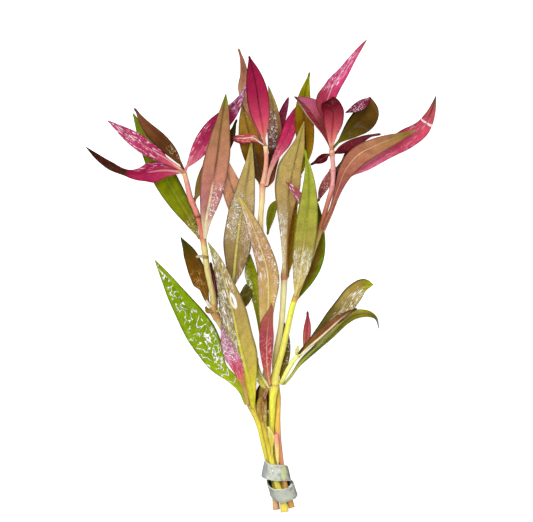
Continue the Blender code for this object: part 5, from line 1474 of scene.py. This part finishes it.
def stem_rings(table, nodes, rng):
    """The points of a stem's rings, the rings' centres, and how swollen each ring is."""
    count = max(FEWEST_STEM_RINGS, round(length_of(table) / STEM_STEP))
    curve = smooth_curve(table, count)
    centres, radius = curve[:, :3], curve[:, 3].copy()
    run = np.linspace(0, length_of(centres), count)
    swelling = np.zeros(count)
    for place in nodes:
        swelling = np.maximum(swelling, np.exp(-(((run - place) / NODE_LENGTH) ** 2)))
    radius += NODE_SWELLING * swelling
    right, up = directions(centres)
    turns = np.arange(STEM_SIDES) * math.tau / STEM_SIDES
    grooves = GROOVE_DEPTH * np.cos(GROOVES * turns + rng.uniform(0, math.tau))
    start = rng.uniform(0, math.tau)
    bumps = STEM_BUMPS * np.sin(run[:, None] * BUMP_PACE + 2 * turns[None] + start)
    around = radius[:, None] + (grooves + bumps) * radius[:, None] / USUAL_RADIUS
    rings = centres[:, None] + around[..., None] * (
        np.cos(turns)[None, :, None] * right[:, None] + np.sin(turns)[None, :, None] * up[:, None])
    return rings, centres, swelling


def tube_faces(steps, size):
    """The quads between the rings of a tube, and the places of their corners on the UV map."""
    faces, uvs = [], []
    for i in range(steps):
        for k in range(size):
            corners = [(i + 1, k), (i + 1, k + 1), (i, k + 1), (i, k)]
            faces.append([ring * size + spot % size for ring, spot in corners])
            uvs += [(ring / steps * TUBE_UV, spot / size) for ring, spot in corners]
    return faces, uvs


def stem_mesh(table, nodes, seed):
    """A tube that swells at its nodes, with shallow grooves along it and closed flat ends."""
    rings, centres, swelling = stem_rings(table, nodes, np.random.default_rng(seed))
    count = len(centres)
    points = [*rings.reshape(-1, 3), centres[0], centres[-1]]
    swell = np.repeat(swelling, STEM_SIDES)
    # How far each point faces up, which sets the painted shade on the flanks.
    lift = np.tile(np.sin(np.arange(STEM_SIDES) * math.tau / STEM_SIDES), count)
    on_rim = np.column_stack([swell, lift, np.ones(len(swell))])
    attributes = {"stem": np.vstack([on_rim, np.zeros((2, 3))])}
    faces, uvs = tube_faces(count - 1, STEM_SIDES)
    turns = np.arange(STEM_SIDES + 1) * math.tau / STEM_SIDES
    circle = STEM_END_UV * np.column_stack([np.cos(turns), np.sin(turns)])
    first, last = (np.array([END_UV, v]) for v in STEM_END_UVS)
    for start, centre, middle, order in ((0, len(points) - 2, first, 1),
                                         (len(swell) - STEM_SIDES, len(points) - 1, last, -1)):
        for k in range(STEM_SIDES):
            faces.append([start + k, start + (k + 1) % STEM_SIDES, centre][::order])
            uvs += [middle + circle[k], middle + circle[k + 1], middle][::order]
    return points, faces, attributes, uvs


def stem_material(name, stops, patches):
    """A wet stem: colour by its place along the bunch, fibres along it, darker rings at nodes,
    painted shade on its flanks and painted light on its top.
    """
    shader = Shader(name)
    swell, lift, rim = shader.attribute("stem")
    x, y, z = shader.millimetres()
    place = shader.join(x, y, z)
    blotches = shader.noise(place, scale=0.2, detail=3)
    grain = shader.noise(place, scale=1.5)
    stretched = [axis * pace for axis, pace in zip((x, y, z), FIBRE_PACES)]
    fibres = shader.noise(shader.join(*stretched), scale=1.0, detail=3)
    low, high = stops[0][0], stops[-1][0]
    share = (y + (blotches - 0.5) * STEM_WANDER - low) / (high - low)
    colour, _ = shader.ramp(share, [((at - low) / (high - low), c) for at, c in stops])
    for patch_colour, spot, size, amount in patches:
        mask = shader.smooth(abs(y - spot), size, size * PATCH_CORE, 0.0, amount)
        mask = mask * shader.smooth(blotches, *PATCH_BREAKS, PATCH_LEAST, 1.0)
        colour = shader.mix(mask, colour, patch_colour)
    at_node = shader.smooth(swell, *AT_NODE, 0.0, NODE_STRENGTH)
    colour = shader.mix(at_node, colour, NODE_RING)
    tint = above(*STEM_FIBRES, fibres) * above(*STEM_GRAIN, grain)
    # Painted shade: darker on the flanks, and painted light: a little lighter on top.
    tint = tint * shader.smooth(lift, *STEM_LIT, STEM_FLANK_SHADE, STEM_TOP_LIGHT)
    colour = shader.scale_colour(colour, tint)
    on_cut = shader.smooth(rim, *ON_CUT, 0.0, PITH_STRENGTH)
    colour = shader.mix(on_cut, colour, PITH)
    shader.fill(shader.surface, Base_Color=colour, Roughness=above(*STEM_ROUGH, grain),
                Coat_Weight=0.15, Coat_Roughness=0.12, Coat_IOR=WATER_IOR, Specular_IOR_Level=0.06)
    shader.bump(fibres * FIBRE_HEIGHT + grain * STEM_GRAIN_HEIGHT, STEM_BUMP * MM)
    return shader.material


def make_stems():
    places = node_places()
    for name, table in STEMS.items():
        mesh = stem_mesh(table, places[name], seed_of(name))
        material = stem_material(f"{name}Surface", *STEM_LOOKS[name])
        piece = mesh_piece(f"{name}Tube", name, mesh, material)


def squared(value):
    """A sine or cosine pushed outwards, which turns a circle into a rounded box."""
    return math.copysign(abs(value) ** (2 / STRIP_SQUARENESS), value)


def waves_at(degrees, waves):
    """The sum of some waves, each an amount, a pace and a start."""
    return sum(amount * math.sin(degrees * pace + start) for amount, pace, start in waves)


def strip_ring(degrees, angles, turns, section):
    """The points of one cross-section of the strip, at an angle round the bundle."""
    axis = np.array([*STRIP_AXIS, 0])
    side = np.array([-STRIP_AXIS[1], STRIP_AXIS[0], 0])
    middle = STRIP_HEIGHT / 2
    place, half, flare, width = (eased(degrees, angles, turn) for turn in turns)
    across = squared(math.cos(math.radians(degrees)))
    rise = squared(math.sin(math.radians(degrees)))
    dent = STRIP_DENT * waves_at(degrees, STRIP_DENTS)
    wobble = waves_at(degrees, STRIP_WOBBLE)
    points = []
    for depth, shift in section:
        rounding = STRIP_ROUNDING * max(0, (abs(shift) - ROUNDED_FROM) / ROUNDED_REACH) ** 2
        grown = shift * flare - depth * STRIP_THICKNESS - dent * math.cos(math.pi * shift)
        grown += rounding * STRIP_THICKNESS * (1 if depth else -1)
        edge = math.copysign(wobble * abs(shift) * 2, shift)
        along = axis * (place + shift * width + edge) + side * (half + grown) * across
        height = middle + (middle * STRIP_PRESSED + grown) * rise
        height = max(height, depth * STRIP_THICKNESS * (1 - rounding) + rounding * EDGE_LIFT)
        points.append(along + np.array([*STRIP_START, height]))
    return points


def strip_mesh():
    """The strip's turns with softened edges, and shallow dents from fingers.

    Its pattern runs along it from the second ring on.
    """
    angles, *turns = np.array(STRIP_TURNS[::-1], float).T
    steps = round((angles[-1] - angles[0]) / STRIP_STEP_DEG)
    section = [(0, shift) for shift in STRIP_ACROSS] + [(1, shift) for shift in STRIP_ACROSS[::-1]]
    rings = [strip_ring(degrees, angles, turns, section)
             for degrees in np.linspace(angles[0], angles[-1], steps + 1)]
    centres = np.mean(rings, axis=1)
    gaps = np.linalg.norm(np.diff(centres, axis=0), axis=1)
    runs = np.concatenate([[0, 0], np.cumsum(gaps[:-1])])
    places = [(run, shift, depth) for run in runs for depth, shift in section]
    size = len(section)
    faces, uvs = tube_faces(steps, size)
    for ring, u, order in ((0, STRIP_END_UVS[0], 1), (steps, STRIP_END_UVS[1], -1)):
        for k in range(size // 2 - 1):
            spots = [k, k + 1, size - 2 - k, size - 1 - k][::order]
            faces.append([ring * size + spot for spot in spots])
            uvs += [(u + STRIP_END_UV * section[spot][0], TUBE_UV * section[spot][1] + 0.5)
                    for spot in spots]
    return np.concatenate(rings), faces, {"strip": places}, uvs


def strip_material():
    """Dull soft metal: mottled grey, bright worn edges and darker patches, with a painted yellowish
    reflection and highlight, and painted shade on the inner face.
    """
    shader = Shader("StripMetal")
    run, across, depth = shader.attribute("strip")
    x, y, _ = shader.millimetres()
    place = shader.join(run, across * STRIP_PACE, depth)
    cloud = shader.noise(place, scale=0.45, detail=4)
    grain = shader.noise(place, scale=3.5, detail=3)
    stretched = shader.join(run * SCRATCH_PACES[0], across * SCRATCH_PACES[1])
    scratches = shader.noise(stretched, scale=1.0, detail=3)
    colour, _ = shader.ramp(cloud, STRIP_TONES)
    scratched = shader.smooth(scratches, *SCRATCHES, 0.0, SCRATCH_STRENGTH)
    colour = shader.mix(scratched, colour, STRIP_SCRATCH)
    # The first two marks are a painted reflection and a painted highlight.
    for mark, mark_x, mark_y, reach_x, reach_y, amount in STRIP_MARKS_AND_GLINTS:
        off_x = (x - mark_x) / reach_x
        off_y = (y - mark_y) / reach_y
        away = cloud * MARK_WANDER + (off_x * off_x + off_y * off_y)
        colour = shader.mix(shader.smooth(away, *IN_MARK, 0.0, amount), colour, mark)
    worn = shader.smooth(abs(across), *WORN, 0.0, WORN_STRENGTH)
    colour = shader.mix(worn, colour, STRIP_EDGE)
    # Painted shade: the inner face, against the stems, is near black.
    inside = shader.smooth(depth, *INNER_SHADE_RISE, 0.0, INNER_SHADE_STRENGTH)
    colour = shader.mix(inside, colour, STRIP_INNER_SHADE)
    shader.fill(shader.surface, Base_Color=colour, Roughness=above(*STRIP_ROUGH, grain),
                Metallic=0.25, Specular_IOR_Level=0.6)
    shader.bump(grain * STRIP_GRAIN_HEIGHT + scratches * SCRATCH_HEIGHT, STRIP_BUMP * MM)
    return shader.material


def make_strip():
    piece = mesh_piece("TieStripWound", "TieStrip", strip_mesh(), strip_material())


def make_floor():
    """A bright pale sheet under the bunch."""
    half = FLOOR_SIZE / 2
    data = bpy.data.meshes.new("Floor")
    corners = [(-half, -half, 0), (half, -half, 0), (half, half, 0), (-half, half, 0)]
    data.from_pydata(corners, [], [(0, 1, 2, 3)])
    shader = Shader("FloorPaper")
    shader.fill(shader.surface, Base_Color=FLOOR_COLOUR, Roughness=0.9,
                Emission_Color=(255, 255, 255), Emission_Strength=FLOOR_GLOW)
    data.materials.append(shader.material)
    floor = bpy.data.objects.new("Floor", data)
    bpy.context.scene.collection.objects.link(floor)
    floor.visible_diffuse = False
    floor.visible_glossy = False


def add_light(name, place, size, power):
    """A square soft light that faces the bunch's middle."""
    data = bpy.data.lights.new(name, "AREA")
    data.shape = "SQUARE"
    data.size = size
    data.energy = power
    light = bpy.data.objects.new(name, data)
    light.location = place
    aim = Vector(VIEW_CENTRE) * MM - Vector(place)
    light.rotation_euler = aim.to_track_quat("-Z", "Y").to_euler()
    bpy.context.scene.collection.objects.link(light)


def make_lights():
    """A soft sky that is brightest overhead and unseen in the wet shine, and square lights."""
    world = bpy.data.worlds.new("Studio")
    bpy.context.scene.world = world
    world.use_nodes = True
    world.cycles_visibility.glossy = False
    tree = world.node_tree
    place = tree.nodes.new("ShaderNodeTexCoord").outputs["Generated"]
    axes = tree.nodes.new("ShaderNodeSeparateXYZ")
    tree.links.new(place, axes.inputs[0])
    rise = tree.nodes.new("ShaderNodeMapRange")
    tree.links.new(axes.outputs["Z"], rise.inputs["Value"])
    rise.inputs["To Min"].default_value = SKY_AT_HORIZON
    rise.inputs["To Max"].default_value = SKY_OVERHEAD
    sky = tree.nodes["Background"]
    tree.links.new(rise.outputs[0], sky.inputs["Strength"])
    sky.inputs["Color"].default_value = (1, 1, 1, 1)
    for light in LIGHTS:
        add_light(*light)


def make_camera():
    """A long lens straight above, as far off as its view of the photo's width asks."""
    data = bpy.data.cameras.new("Camera")
    data.lens = LENS
    data.sensor_width = SENSOR
    data.clip_end = FARTHEST_SEEN
    camera = bpy.data.objects.new("Camera", data)
    x, y, level = VIEW_CENTRE
    camera.location = (x * MM, y * MM, (level + VIEW_WIDTH * LENS / SENSOR) * MM)
    bpy.context.scene.collection.objects.link(camera)
    bpy.context.scene.camera = camera
    bpy.context.scene.view_settings.view_transform = "Standard"


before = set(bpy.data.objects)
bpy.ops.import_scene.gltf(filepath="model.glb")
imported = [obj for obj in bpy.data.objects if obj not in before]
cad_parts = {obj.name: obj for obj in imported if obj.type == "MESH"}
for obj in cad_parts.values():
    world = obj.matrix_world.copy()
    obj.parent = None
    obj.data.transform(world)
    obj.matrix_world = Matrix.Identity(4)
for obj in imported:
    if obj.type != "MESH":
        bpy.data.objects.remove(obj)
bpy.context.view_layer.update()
make_camera()
make_lights()
make_floor()
make_leaves()
make_stems()
make_strip()
